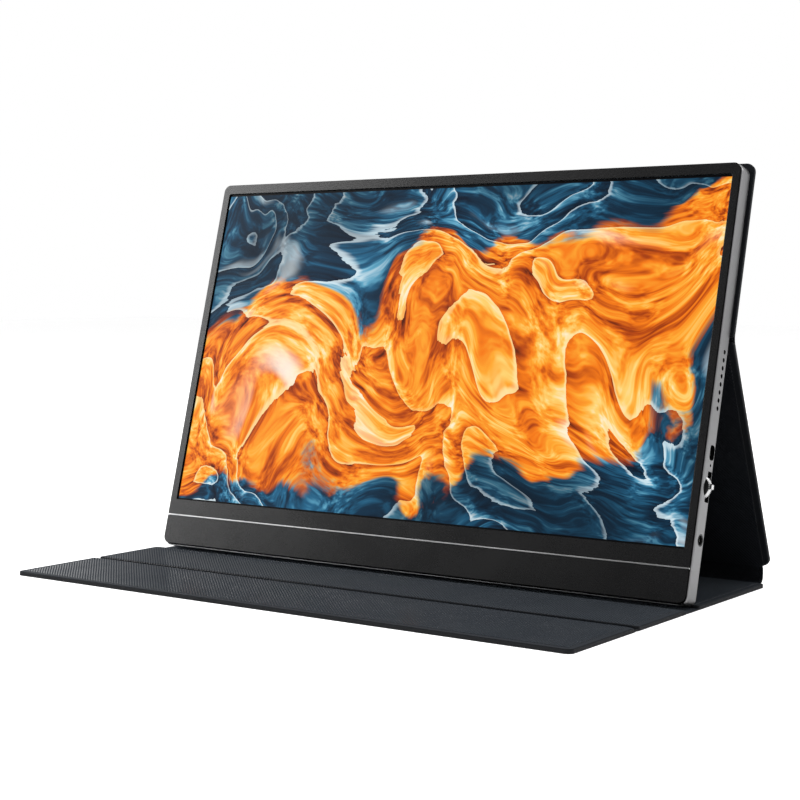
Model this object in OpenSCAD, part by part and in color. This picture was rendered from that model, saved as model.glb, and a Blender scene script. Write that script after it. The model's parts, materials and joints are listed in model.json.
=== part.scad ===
// Portable monitor standing in its folding cover.
// Origin: on the table, under the middle of the monitor's front bottom edge.
// +X is the viewer's right, +Y goes away from the viewer, +Z is up. Millimetres.
// Inside monitor_frame() +Y is the depth behind the front face and +Z runs up the screen.
// Inside a cover panel's frame +Y runs along the cover and +Z is the side that faces the monitor.

/* [Screen] */
// Width of the lit picture
screen_w = 344.2; // [300:0.1:380]
// Height of the lit picture
screen_h = 193.6; // [168:0.1:214]
// Unlit black edge beside the picture
screen_border = 0.4; // [0.2:0.05:1]
// Unlit black edge below the picture
edge_below = 0.8; // [0.4:0.1:1.6]
// Unlit black edge above the picture
edge_above = 1.4; // [0.6:0.1:2]
// Bezel beside the picture
side_bezel = 4.5; // [3.8:0.1:8]
// Bezel above the picture
top_bezel = 6.1; // [4.8:0.1:10]
// Bezel below the picture, chin included
bottom_bezel = 28.4; // [27:0.1:40]
// Radius of the window's two upper corners
window_r = 1.6; // [0.8:0.1:3]
// Backward lean of the screen from upright
tilt = 15.2; // [8:0.1:20]

/* [Monitor shell] */
// Thickness of the whole monitor
shell_t = 11.5; // [10.6:0.1:15]
// Wall along the shell's four sides
side_wall = 0.9; // [0.7:0.05:1.4]
// Wall across the shell's back
back_wall = 1.0; // [0.8:0.05:1.6]
// Corner radius of the shell, seen from the front
shell_r = 4.6; // [3:0.1:8]
// Rounding where the sides meet the back
edge_r = 1.2; // [0.6:0.1:2]
// Depth from the front face to the shell's front rim
rim_drop = 0.9; // [0.4:0.1:1.5]
// Gap between the front frame's skirt and the shell
seam = 0.6; // [0.3:0.05:1]
// How far the face stands in from the shell's outer side
face_inset = 0.3; // [0.2:0.05:0.6]
// Open seam between the face's back and the shell's rim
face_gap = 0.2; // [0.1:0.05:0.4]

/* [Front frame] */
// Thickness of the front frame and the chin plate
bezel_t = 0.9; // [0.7:0.05:1.1]
// Depth of the skirt behind the front frame
skirt_d = 3.1; // [2:0.1:3.4]
// Thickness of that skirt
skirt_t = 0.8; // [0.5:0.05:1]
// Height of the trim strip's middle line above the bottom edge
trim_v = 18.7; // [16:0.1:21]
// Height of the trim strip
trim_h = 1.0; // [0.6:0.1:1.6]
// How far the trim strip stands in front of the bezel
trim_proud = 0.2; // [0.1:0.05:0.5]
// Thickness of the ledge that carries the chin plate
ledge_t = 1.0; // [0.6:0.1:1.2]

/* [Display stack] */
// Thickness of the foam gasket between bezel and glass
gasket_t = 0.2; // [0.15:0.05:0.4]
// Width of the foam gasket
gasket_w = 1.3; // [0.8:0.1:1.5]
// Thickness of the anti-glare film on the glass
film_t = 0.15; // [0.1:0.05:0.15]
// Thickness of the liquid crystal cell
cell_t = 1.1; // [0.8:0.05:1.2]
// Thickness of the prism and diffuser sheets together
sheets_t = 0.4; // [0.3:0.05:0.5]
// Thickness of the light guide
guide_t = 0.8; // [0.6:0.05:0.9]
// Thickness of the reflector
reflector_t = 0.15; // [0.1:0.05:0.2]
// Thickness of the steel tray behind the display
tray_t = 0.3; // [0.2:0.05:0.4]
// Thickness of the flexible films that feed the cell
flex_t = 0.15; // [0.1:0.05:0.2]
// Number of those films
flex_count = 5; // [3:1:7]
// Width of each film
flex_w = 22; // [14:1:30]
// Width of the driver board behind the chin
driver_w = 300; // [240:1:320]
// Height of the driver board
driver_h = 10; // [8:0.5:11]

/* [Side ports and controls] */
// Height of the headphone jack above the bottom edge
jack_v = 34; // [30:0.1:40]
// Depth of the jack's axis behind the front face
jack_depth = 7.7; // [7.5:0.1:7.9]
// Radius of the jack's bore
jack_bore_r = 1.8; // [1.76:0.01:1.85]
// Radius of the black ring round the jack
jack_ring_r = 3.1; // [2.8:0.1:3.2]
// Length of the jack's body inside the shell
jack_len = 12.5; // [10:0.5:15]
// Height of the jog wheel's axle above the bottom edge
jog_v = 61; // [58:0.1:63]
// Radius of the jog wheel
jog_r = 6.5; // [6:0.1:7]
// Thickness of the jog wheel
jog_t = 3; // [2.4:0.1:3.2]
// How far the jog wheel stands out of the side
jog_proud = 1.8; // [1.2:0.1:2]
// Depth of the jog wheel's middle behind the front face
jog_depth = 8.4; // [8.3:0.1:8.6]
// Length of the slot for the jog wheel
jog_slot_len = 15.5; // [15:0.1:17]
// Travel of the jog wheel when it is pressed
jog_travel = 0.6; // [0.3:0.1:0.7]
// Height of the status light above the bottom edge
light_v = 72.3; // [71.5:0.1:73]
// Radius of the status light's hole
light_hole_r = 0.55; // [0.5:0.05:0.7]
// Height of the right USB-C socket above the bottom edge
usb_right_v = 79.3; // [79:0.1:86]
// Height of the left USB-C socket above the bottom edge
usb_left_v = 62; // [59:0.5:66]
// Width of a USB-C socket
usb_w = 8.9; // [8.9:0.05:9.1]
// Thickness of a USB-C socket
usb_h = 3.2; // [3.1:0.05:3.4]
// Length of a USB-C socket
usb_len = 7.4; // [6.5:0.1:9]
// Height of the video socket above the bottom edge
video_v = 44; // [40:0.5:48]
// Width of the video socket
video_w = 11.2; // [11:0.1:12]
// Thickness of the video socket
video_h = 3.2; // [3:0.1:3.6]
// Height of the power button above the bottom edge
power_v = 82; // [79:0.5:84]
// Length of the power button
power_len = 11; // [9:0.5:13]
// Width of the power button
power_w = 2.6; // [2:0.1:3]
// Travel of the power button
power_travel = 0.5; // [0.3:0.1:0.6]
// Running gap round the buttons
button_gap = 0.15; // [0.1:0.05:0.25]
// Height of the lowest speaker hole above the bottom edge
speaker_v = 101.7; // [101:0.1:110]
// Distance from one speaker hole to the next
speaker_pitch = 4.2; // [3:0.1:5]
// Number of speaker holes on each side
speaker_holes = 8; // [4:1:10]
// Radius of a speaker hole
speaker_hole_r = 0.9; // [0.6:0.05:1.2]
// Depth of the speaker holes behind the front face
speaker_depth = 8; // [7:0.1:8.6]

/* [Circuit boards] */
// Thickness of the circuit boards
board_t = 0.8; // [0.6:0.1:1]
// Height of the bosses that carry the boards
boss_h = 4.5; // [4.2:0.1:4.7]
// Radius of the bosses
boss_r = 2; // [1.7:0.1:2.4]
// Width of the main board
main_w = 63; // [58:1:80]
// Width of the left board
left_w = 45; // [40:1:60]
// Radius of a board screw's shank
screw_r = 0.75; // [0.6:0.05:0.9]
// Radius of a board screw's head
screw_head_r = 1.8; // [1.5:0.1:2]
// Length of a holding magnet
magnet_len = 40; // [20:1:60]
// Width of a holding magnet
magnet_w = 8; // [5:0.5:12]
// Thickness of a holding magnet
magnet_t = 1.4; // [0.8:0.1:1.5]

/* [Cover] */
// How far the cover stands out past the monitor on each side
cover_overhang = 1.7; // [1.2:0.1:4]
// Corner radius of the cover's panels
cover_r = 5; // [3:0.5:7]
// Thickness of the outer skin
skin_t = 0.5; // [0.4:0.05:0.8]
// Thickness of the stiff board inside each panel
stiff_t = 1.7; // [1.5:0.1:2.4]
// Thickness of the lining that faces the monitor
lining_t = 0.3; // [0.2:0.05:0.5]
// Width of the skin's edge that is left bare round the lining
hem = 0.4; // [0.3:0.1:1]
// Fabric between a fold and the board beside it
crease = 3; // [2.4:0.1:4]
// Depth of the front flap, from its fold to its free edge
flap_len = 61.5; // [40:0.5:80]
// Depth of the middle floor panel
mid_len = 53; // [40:0.5:80]
// Distance from the front face's foot forward to the middle panel's fold
groove_front = 1; // [0.5:0.1:3]
// Distance from the front face's foot back to the rear floor board
groove_back = 13; // [12.5:0.1:16]
// Distance from the front face's foot back to the rear fold
base_rear = 93.5; // [80:0.5:110]
// Width of the spine, fold to fold
spine_len = 11.5; // [10:0.1:16]
// Slope of the spine from level
spine_angle = 46.8; // [40:0.1:60]
// Height up the monitor's back at which the cover folds away from it
fold_v = 139; // [120:0.5:150]
// Height of the cover's top edge above the monitor's top edge
cover_top_rise = 3.2; // [0:0.1:6]
// Gap between the monitor's back and the cover
cover_gap = 0.4; // [0.3:0.05:0.6]
// Gap between the monitor's lowest point and the groove
rest_gap = 0.3; // [0.2:0.05:0.4]

/* [Hidden] */
$fn = 48;

// Cutters reach this far past what they cut
past = 1;
// Fit between pieces that are glued or clipped in place
fit = 0.1;

monitor_w = screen_w + 2 * (screen_border + side_bezel);
window_h = edge_below + screen_h + edge_above;
monitor_h = bottom_bezel + window_h + top_bezel;
window_v = bottom_bezel;
window_w = screen_w + 2 * screen_border;

// The front frame sits inside the shell, and its face covers the shell's rim
frame_inset = side_wall + seam;
face_w = monitor_w - 2 * face_inset;
face_r = shell_r - face_inset;
face_t = min(bezel_t, rim_drop - face_gap);
frame_w = monitor_w - 2 * frame_inset;
frame_h = monitor_h - 2 * frame_inset;
frame_r = shell_r - frame_inset;
trim_low = trim_v - trim_h / 2;
trim_high = trim_v + trim_h / 2;
trim_end = 0.3;

// Depths of the display stack, front to back
glass_d = bezel_t + gasket_t;
sheets_d = glass_d + cell_t;
guide_d = sheets_d + sheets_t;
reflector_d = guide_d + guide_t;
tray_d = reflector_d + reflector_t;
tray_back = tray_d + tray_t;
cell_gap = 0.8;
lip_h = 0.5;
cell_w = frame_w - 2 * (skirt_t + cell_gap);
cell_low = trim_high + 1.2;
cell_high = monitor_h - frame_inset - skirt_t - cell_gap;
cell_ledge = 4.1;
tray_low = cell_low + cell_ledge;
led_h = 1.4;
stack_gap = 0.3;
flex_reach = 2.6;
driver_high = cell_low - 1.4;
driver_d = sheets_d + flex_t;

// Boards hang on bosses from the shell's back
inner_back = shell_t - back_wall;
board_back = inner_back - boss_h;
board_d = board_back - board_t;
wall_x = monitor_w / 2 - side_wall;
side_x = monitor_w / 2;
board_edge = wall_x - 1.1;
left_edge = wall_x - 1.9;
main_low = jack_v - 11;
main_high = usb_right_v + 18;
left_low = video_v - 11;
left_high = power_v + 9;
usb_d = board_back + usb_h / 2;
video_d = board_back + video_h / 2;
light_d = board_back + 2.4;
power_d = board_back + 1.7;
mouth_drop = 0.2;
port_gap = 0.15;
boss_edge = 5;
jack_side_boss = 22;
main_bosses = [[board_edge - main_w + boss_edge, main_low + boss_edge],
    [board_edge - main_w + boss_edge, main_high - boss_edge],
    [board_edge - jack_side_boss, main_low + boss_edge], [board_edge - boss_edge, main_high - boss_edge]];
left_bosses = [[boss_edge + left_w - left_edge - 2 * boss_edge, left_low + boss_edge],
    [left_w - left_edge - boss_edge, left_high - boss_edge]];
screw_head_t = 0.7;
screw_len = 3.4;

// The cable runs down beside the main board's lower boss, and the driver board reaches past it
cable_w = 16;
cable_t = 0.2;
cable_margin = 1.2;
cable_x = main_bosses[0][0] + screw_head_r + cable_margin + cable_w / 2;
driver_x = max(0, cable_x + cable_w / 2 + cable_margin - driver_w / 2);
cable_grip = 7;
cable_foot = 2;

// Jog wheel
jog_x = side_x + jog_proud - jog_r;
jog_front = jog_depth - jog_t / 2;
axle_r = 1.2;
axle_gap = 0.05;
rim_t = 0.8;
knurls = 44;
knurl_d = 0.25;
carrier_t = 0.45;
carrier_gap = 0.3;
carrier_len = 6;
carrier_back = jog_x - jog_r - 0.4;
scoop_r = 6.2;

// Cover
panel_t = skin_t + stiff_t + lining_t;
fabric_t = skin_t + lining_t;
cover_w = monitor_w + 2 * cover_overhang;
groove_w = groove_front + groove_back;
spine_w = cover_w - 2 * cover_r;
fold_gap = 0.3;
bead_r = fabric_t / 2;

// Height of the front face's foot that leaves the shell's rounded edge just above the groove
seat_z = fabric_t + rest_gap + edge_r - edge_r * cos(tilt) + (shell_t - edge_r) * sin(tilt);

// Folds as [y, z], each in the middle of the fabric
fold_depth = shell_t + cover_gap + panel_t - bead_r;
top_fold = [fold_v * sin(tilt) + fold_depth * cos(tilt), seat_z + fold_v * cos(tilt) - fold_depth * sin(tilt)];
rear_fold = [base_rear, bead_r];
leg_fold = rear_fold + spine_len * [cos(spine_angle), sin(spine_angle)];
leg_len = norm(top_fold - leg_fold);
leg_angle = atan2(top_fold[1] - leg_fold[1], top_fold[0] - leg_fold[0]);
upper_len = monitor_h + cover_top_rise - fold_v;

// ---------- frames ----------

module monitor_frame() {
    translate([0, 0, seat_z]) rotate([-tilt, 0, 0]) children();
}

// A cover panel that starts at a fold and runs off at an angle from level
module panel_frame(fold, angle) {
    translate([0, fold[0], fold[1]]) rotate([angle, 0, 0]) translate([0, 0, -bead_r]) children();
}

module floor_frame(start) {
    translate([0, start, 0]) children();
}

// ---------- shapes ----------

// A flat outline of the monitor's face, given a depth
module plate(from, to) {
    translate([0, to, 0]) rotate([90, 0, 0]) linear_extrude(to - from) children();
}

// Rectangle from low to high, centred on X, with its own radii below and above
module outline(w, low, high, r_low = 0, r_high = 0) {
    translate([-w / 2, low + r_low]) square([w, high - low - r_low - r_high]);
    if (r_low > 0) round_end(w, low, r_low, 1);
    if (r_high > 0) round_end(w, high, r_high, -1);
}

module round_end(w, edge, r, inward) {
    translate([-w / 2 + r, min(edge, edge + inward * r)]) square([w - 2 * r, r]);
    for (side = [-1, 1]) translate([side * (w / 2 - r), edge + inward * r]) circle(r);
}

// Depth profile that is rounded at the back only
module back_rounded(length) {
    translate([0, -length / 2 + edge_r]) square([shell_t, length - 2 * edge_r]);
    translate([0, -length / 2]) square([shell_t - edge_r, length]);
    for (side = [-1, 1]) translate([shell_t - edge_r, side * (length / 2 - edge_r)]) circle(edge_r);
}

module frame_outline(inset) {
    outline(frame_w - 2 * inset, frame_inset + inset, frame_inset + frame_h - inset,
        frame_r - inset, frame_r - inset);
}

module window_outline(grow) {
    outline(window_w + 2 * grow, window_v - grow, window_v + window_h + grow, 0, window_r + grow);
}

// A slot through a side wall, long way up the screen
module side_slot(side, depth, v, length, width) {
    translate([side * wall_x, depth, v]) rotate([0, 90, 0])
        for (end = [-1, 1]) translate([end * (length - width) / 2, 0, 0])
            cylinder(d = width, h = 4 * side_wall, center = true);
    translate([side * wall_x - 2 * side_wall, depth - width / 2, v - (length - width) / 2])
        cube([4 * side_wall, width, length - width]);
}

module side_hole(side, depth, v, r) {
    translate([side * wall_x, depth, v]) rotate([0, 90, 0]) cylinder(r = r, h = 4 * side_wall, center = true);
}

// Rounded bar along X, for buttons
module side_bar(x, depth, v, length, width, reach) {
    translate([x, depth, v]) rotate([0, 90, 0])
        for (end = [-1, 1]) translate([end * (length - width) / 2, 0, 0]) cylinder(d = width, h = reach);
    translate([x, depth - width / 2, v - (length - width) / 2]) cube([reach, width, length - width]);
}

module back_boss(place) {
    translate([place[0], board_back, place[1]]) rotate([-90, 0, 0]) cylinder(r = boss_r, h = boss_h + past / 2);
}

module boss_bore(place) {
    translate([place[0], board_back - past, place[1]]) rotate([-90, 0, 0])
        cylinder(r = screw_r + axle_gap, h = screw_len - board_t + past + 0.3);
}

// ---------- monitor: case ----------

module rear_shell() color([0.66, 0.67, 0.68]) monitor_frame() {
    difference() {
        intersection() {
            plate(rim_drop, shell_t) outline(monitor_w, 0, monitor_h, shell_r, shell_r);
            translate([0, 0, monitor_h / 2]) rotate([90, 0, 90])
                linear_extrude(monitor_w + past, center = true) back_rounded(monitor_h);
            rotate([0, 0, 90]) linear_extrude(monitor_h + past) back_rounded(monitor_w);
        }
        plate(rim_drop - past, inner_back)
            outline(monitor_w - 2 * side_wall, side_wall, monitor_h - side_wall,
                shell_r - side_wall, shell_r - side_wall);
        for (side = [-1, 1], i = [0 : speaker_holes - 1])
            side_hole(side, speaker_depth, speaker_v + i * speaker_pitch, speaker_hole_r);
        side_slot(1, usb_d, usb_right_v, usb_w + 2 * port_gap, usb_h + 2 * port_gap);
        side_slot(-1, usb_d, usb_left_v, usb_w + 2 * port_gap, usb_h + 2 * port_gap);
        side_slot(-1, video_d, video_v, video_w + 2 * port_gap, video_h + 2 * port_gap);
        side_slot(-1, power_d, power_v, power_len + 2 * button_gap, power_w + 2 * button_gap);
        side_hole(1, light_d, light_v, light_hole_r);
        side_hole(1, jack_depth, jack_v, jack_ring_r + port_gap / 2);
        side_slot(1, jog_depth, jog_v, jog_slot_len, jog_t + 1);
        // finger scoop in front of the wheel
        intersection() {
            side_hole(1, jog_depth + jog_t / 2, jog_v, scoop_r);
            cube([monitor_w, jog_depth, monitor_h]);
        }
    }
    difference() {
        for (place = concat(main_bosses, left_bosses)) back_boss(place);
        for (place = concat(main_bosses, left_bosses)) boss_bore(place);
    }
}

module front_bezel() color([0.09, 0.09, 0.1]) monitor_frame() {
    // face round the window, thinner where it covers the shell's rim
    plate(0, bezel_t) difference() {
        outline(frame_w, trim_high, frame_inset + frame_h, 0, frame_r);
        window_outline(0);
    }
    plate(0, face_t) difference() {
        outline(face_w, trim_high, monitor_h - face_inset, 0, face_r);
        window_outline(0);
    }
    // skirt inside the shell
    plate(bezel_t, bezel_t + skirt_d) difference() {
        frame_outline(0);
        frame_outline(skirt_t);
    }
    // ledge behind the chin plate and the trim strip, with the lip that joins it to the face
    plate(bezel_t, bezel_t + ledge_t) intersection() {
        frame_outline(0);
        outline(frame_w, 0, trim_high + lip_h);
    }
    plate(bezel_t / 2, bezel_t + ledge_t) outline(frame_w, trim_high, trim_high + lip_h);
}

module chin_plate() color([0.1, 0.1, 0.11]) monitor_frame() {
    plate(0, bezel_t) outline(frame_w, frame_inset, trim_low, frame_r, 0);
    plate(0, face_t) outline(face_w, face_inset, trim_low, face_r, 0);
}

module chin_trim_strip() color([0.8, 0.8, 0.81]) monitor_frame()
    translate([-monitor_w / 2 + trim_end, -trim_proud, trim_low])
        cube([monitor_w - 2 * trim_end, bezel_t + trim_proud, trim_h]);

// ---------- monitor: display ----------

module screen_gasket() color([0.12, 0.12, 0.12]) monitor_frame()
    plate(bezel_t, glass_d) difference() {
        window_outline(gasket_w + fit);
        window_outline(fit);
    }

module antiglare_film() color([0.85, 0.5, 0.2]) monitor_frame()
    plate(glass_d - film_t, glass_d) window_outline(-fit);

module lcd_cell() color([0.05, 0.06, 0.08]) monitor_frame()
    plate(glass_d, sheets_d) outline(cell_w, cell_low, cell_high);

module sheet_stack(from, to) {
    plate(from, to) outline(cell_w - 2 * (tray_t + stack_gap), tray_low + led_h + tray_t + 2 * stack_gap,
        cell_high - tray_t - stack_gap);
}

module optical_sheets() color([0.93, 0.93, 0.9]) monitor_frame() sheet_stack(sheets_d, guide_d);

module light_guide() color([0.75, 0.88, 0.92, 0.6]) monitor_frame() sheet_stack(guide_d, reflector_d);

module reflector_sheet() color([0.97, 0.97, 0.97]) monitor_frame() sheet_stack(reflector_d, tray_d);

module led_strip() color([0.95, 0.9, 0.6]) monitor_frame()
    plate(guide_d, tray_d) outline(cell_w - 2 * (tray_t + stack_gap), tray_low + tray_t + stack_gap / 2,
        tray_low + tray_t + stack_gap / 2 + led_h);

module display_tray() color([0.6, 0.62, 0.64]) monitor_frame() {
    plate(tray_d, tray_back) outline(cell_w, tray_low, cell_high);
    plate(sheets_d, tray_back) difference() {
        outline(cell_w, tray_low, cell_high);
        outline(cell_w - 2 * tray_t, tray_low + tray_t, cell_high - tray_t);
    }
}

module driver_films() color([0.75, 0.5, 0.15]) monitor_frame()
    for (i = [0 : flex_count - 1])
        translate([driver_x + ((i + 0.5) / flex_count - 0.5) * driver_w, 0, 0])
            plate(sheets_d, driver_d) outline(flex_w, driver_high - flex_reach, cell_low + flex_reach);

module driver_board() color([0.1, 0.35, 0.22]) monitor_frame() translate([driver_x, 0, 0])
    plate(driver_d, driver_d + board_t) outline(driver_w, driver_high - driver_h, driver_high);

// ---------- monitor: electronics ----------

cable_low = driver_high - driver_h + cable_foot;
cable_bend = driver_high - 1.5;
cable_high = main_low + cable_grip;
cable_top_bend = main_low + 0.5;

module display_cable() color([0.85, 0.82, 0.7]) monitor_frame()
    translate([cable_x, 0, 0]) rotate([90, 0, 90]) linear_extrude(cable_w, center = true)
        polygon([[driver_d + board_t, cable_low], [driver_d + board_t + cable_t, cable_low],
            [driver_d + board_t + cable_t, cable_bend], [board_d, cable_top_bend], [board_d, cable_high],
            [board_d - cable_t, cable_high], [board_d - cable_t, cable_top_bend + cable_t],
            [driver_d + board_t, cable_bend + cable_t]]);

module jack_notch() {
    translate([wall_x - jack_len - fit, board_d - past, jack_v - jack_ring_r - fit])
        cube([jack_len + past, board_t + 2 * past, 2 * (jack_ring_r + fit)]);
}

module main_board() color([0.08, 0.32, 0.2]) monitor_frame() difference() {
    translate([board_edge - main_w, board_d, main_low]) cube([main_w, board_t, main_high - main_low]);
    jack_notch();
    for (place = main_bosses) translate([place[0], board_d - past, place[1]]) rotate([-90, 0, 0])
        cylinder(r = screw_r + 0.3, h = board_t + 2 * past);
}

module left_board() color([0.08, 0.32, 0.2]) monitor_frame() difference() {
    translate([-left_edge, board_d, left_low]) cube([left_w, board_t, left_high - left_low]);
    for (place = left_bosses) translate([place[0], board_d - past, place[1]]) rotate([-90, 0, 0])
        cylinder(r = screw_r + 0.3, h = board_t + 2 * past);
}

// A chip on a board's back face: middle, size and height
module chip(x, v, w, h, t) {
    translate([x - w / 2, board_back, v - h / 2]) cube([w, t, h]);
}

main_edge = board_edge - main_w;
scaler_w = 14;
scaler_t = 1.1;
scaler_inset = 25;
scaler_drop = 22;
chip_w = 7;
chip_t = 0.9;
memory_w = 8;
memory_h = 5;
memory_inset = 9;
memory_up = 20;
charger_w = 6;
charger_h = 8;
charger_inset = 24;
charger_up = 22;
power_chip_inset = 41;
power_chip_drop = 10;
coil_w = 5;
coil_t = 2.4;
coil_pitch = 8;
coil_up = 35;
left_chip_inset = 15;

module scaler_chip() color([0.07, 0.07, 0.08]) monitor_frame()
    chip(main_edge + scaler_inset, main_high - scaler_drop, scaler_w, scaler_w, scaler_t);

module board_chips() color([0.1, 0.1, 0.1]) monitor_frame() {
    chip(main_edge + memory_inset, main_low + memory_up, memory_w, memory_h, chip_t);
    chip(main_edge + charger_inset, main_low + charger_up, charger_w, charger_h, chip_t);
    chip(main_edge + power_chip_inset, main_high - power_chip_drop, chip_w, chip_w, chip_t);
    for (i = [0 : 2])
        chip(main_edge + memory_inset + coil_pitch * i, main_low + coil_up, coil_w, coil_w, coil_t);
}

module left_chips() color([0.1, 0.1, 0.1]) monitor_frame()
    for (v = [video_v, usb_left_v]) chip(left_w - left_edge - left_chip_inset, v, chip_w, chip_w, chip_t);

module board_screws() color([0.75, 0.75, 0.72]) monitor_frame()
    for (place = concat(main_bosses, left_bosses)) translate([place[0], board_d, place[1]])
        rotate([-90, 0, 0]) {
            cylinder(r = screw_r, h = screw_len);
            translate([0, 0, -screw_head_t]) cylinder(r = screw_head_r, h = screw_head_t);
        }

// A metal socket that opens at the given side, with its long side up the screen
socket_wall = 0.3;

module socket_shell(side, depth, v, length, width, reach) {
    mouth = side * (side_x - mouth_drop);
    inner = mouth - side * reach;
    difference() {
        side_bar(min(mouth, inner), depth, v, length, width, reach);
        side_bar(side > 0 ? inner + socket_wall : mouth - past, depth, v, length - 2 * socket_wall,
            width - 2 * socket_wall, reach - socket_wall + past);
    }
}

module usb_c_right() color([0.8, 0.8, 0.8]) monitor_frame()
    socket_shell(1, usb_d, usb_right_v, usb_w, usb_h, usb_len);

module usb_c_left() color([0.8, 0.8, 0.8]) monitor_frame()
    socket_shell(-1, usb_d, usb_left_v, usb_w, usb_h, usb_len);

tongue_w = 6.7;
tongue_t = 0.7;
tongue_drop = 0.9;

module tongue(side, v) {
    root_x = side_x - mouth_drop - usb_len + socket_wall;
    tip_x = side_x - mouth_drop - tongue_drop;
    translate([side > 0 ? root_x : -tip_x, usb_d - tongue_t / 2, v - tongue_w / 2])
        cube([tip_x - root_x, tongue_t, tongue_w]);
}

module usb_tongues() color([0.1, 0.1, 0.1]) monitor_frame() {
    tongue(1, usb_right_v);
    tongue(-1, usb_left_v);
}

module video_socket() color([0.78, 0.78, 0.78]) monitor_frame()
    socket_shell(-1, video_d, video_v, video_w, video_h, usb_len);

module audio_jack() color([0.06, 0.06, 0.06]) monitor_frame() difference() {
    union() {
        translate([wall_x - jack_len, jack_depth - 2.4, jack_v - jack_ring_r])
            cube([jack_len - fit, 4.8, 2 * jack_ring_r]);
        translate([wall_x - 1.5 * fit, jack_depth, jack_v]) rotate([0, 90, 0])
            cylinder(r = jack_ring_r, h = side_wall + 1.5 * fit);
    }
    translate([wall_x - jack_len + 1, jack_depth, jack_v]) rotate([0, 90, 0])
        cylinder(r = jack_bore_r, h = jack_len + past);
}

// ---------- monitor: speakers, light, switches, magnets ----------

speaker_w = 22;
speaker_margin = 3.4;
speaker_front = board_d + 0.2;

module speaker(side) {
    low = speaker_v - speaker_margin;
    high = speaker_v + (speaker_holes - 1) * speaker_pitch + speaker_margin;
    difference() {
        translate([side > 0 ? wall_x - fit - speaker_w : -wall_x + fit, speaker_front, low])
            cube([speaker_w, inner_back - speaker_front, high - low]);
        // open front of the sound chamber
        translate([side > 0 ? wall_x - 3 : -wall_x - past, speaker_front + 1, low + 1])
            cube([3 + past, inner_back - speaker_front - 2, high - low - 2]);
        // dished cone
        translate([side * (wall_x - 13), speaker_front - past, (low + high) / 2]) rotate([-90, 0, 0])
            cylinder(r = 7, h = past + 0.8);
    }
}

module speaker_right() color([0.13, 0.13, 0.14]) monitor_frame() speaker(1);

module speaker_left() color([0.13, 0.13, 0.14]) monitor_frame() speaker(-1);

module status_light_pipe() color([0.9, 0.95, 0.9, 0.7]) monitor_frame() {
    translate([wall_x - 5, light_d, light_v]) rotate([0, 90, 0])
        cylinder(r = light_hole_r - axle_gap, h = 5 + side_wall);
    translate([wall_x - 6, board_back, light_v - 1]) cube([2.5, light_d - board_back + 0.8, 2]);
}

module jog_switch() color([0.2, 0.2, 0.22]) monitor_frame()
    translate([carrier_back - carrier_len - jog_travel - 0.3 - 6, board_back, jog_v - 4]) cube([6, 3.6, 8]);

module power_switch() color([0.2, 0.2, 0.22]) monitor_frame()
    translate([-wall_x + fit + 0.8 + power_travel + 0.2, board_back, power_v - 3]) cube([4, 3.4, 6]);

module magnet_row(depth) {
    for (x = [-3, -1, 1, 3]) translate([x * monitor_w / 8 - magnet_len / 2, depth, fold_v + upper_len / 2])
        cube([magnet_len, magnet_t, magnet_w]);
}

module shell_magnets() color([0.7, 0.7, 0.72]) monitor_frame() magnet_row(inner_back - magnet_t);

// ---------- jog wheel and power button ----------

module jog_carrier() color([0.25, 0.25, 0.27]) monitor_frame() {
    arm_d = jog_front - carrier_gap - carrier_t;
    translate([carrier_back - carrier_len, arm_d, jog_v - 3])
        cube([jog_x + 2 - carrier_back + carrier_len, carrier_t, 6]);
    translate([carrier_back - carrier_len, arm_d, jog_v - 3]) cube([carrier_len, jog_t + carrier_gap, 6]);
    translate([jog_x, arm_d, jog_v]) rotate([-90, 0, 0]) cylinder(r = axle_r, h = carrier_t + carrier_gap + jog_t);
}

module jog_hub() color([0.1, 0.1, 0.1]) monitor_frame()
    translate([jog_x, jog_front, jog_v]) rotate([-90, 0, 0]) difference() {
        cylinder(r = jog_r - rim_t, h = jog_t);
        translate([0, 0, -past]) cylinder(r = axle_r + axle_gap, h = jog_t + 2 * past);
        translate([0, 0, jog_t - 0.4]) cylinder(r = jog_r - rim_t - 1, h = 1);
    }

module jog_rim() color([0.85, 0.85, 0.86]) monitor_frame()
    translate([jog_x, jog_front, jog_v]) rotate([-90, 0, 0]) difference() {
        linear_extrude(jog_t) polygon([for (i = [0 : 2 * knurls - 1])
            (jog_r - (i % 2) * knurl_d) * [cos(180 * i / knurls), sin(180 * i / knurls)]]);
        translate([0, 0, -past]) cylinder(r = jog_r - rim_t, h = jog_t + 2 * past);
    }

module power_button() color([0.72, 0.72, 0.74]) monitor_frame() {
    side_bar(-side_x - 0.3, power_d, power_v, power_len, power_w, side_wall + 0.3 + fit);
    side_bar(-wall_x + fit, power_d, power_v, power_len + 2, power_w + 0.6, 0.8);
}

// ---------- cover ----------
// A panel's ends are "free", "bead" (it carries the fold's rounded fabric edge), "plain" (it meets one)
// or "joined" (its fabric carries straight on into the groove's).

function fabric_start(kind) = kind == "plain" ? bead_r + fold_gap : 0;
function board_start(kind, gap) = kind == "free" ? skin_t + fit : gap;
function lining_start(kind, step) = kind == "free" ? hem : kind == "joined" ? step
    : max(fabric_start(kind), bead_r + fit);

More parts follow.
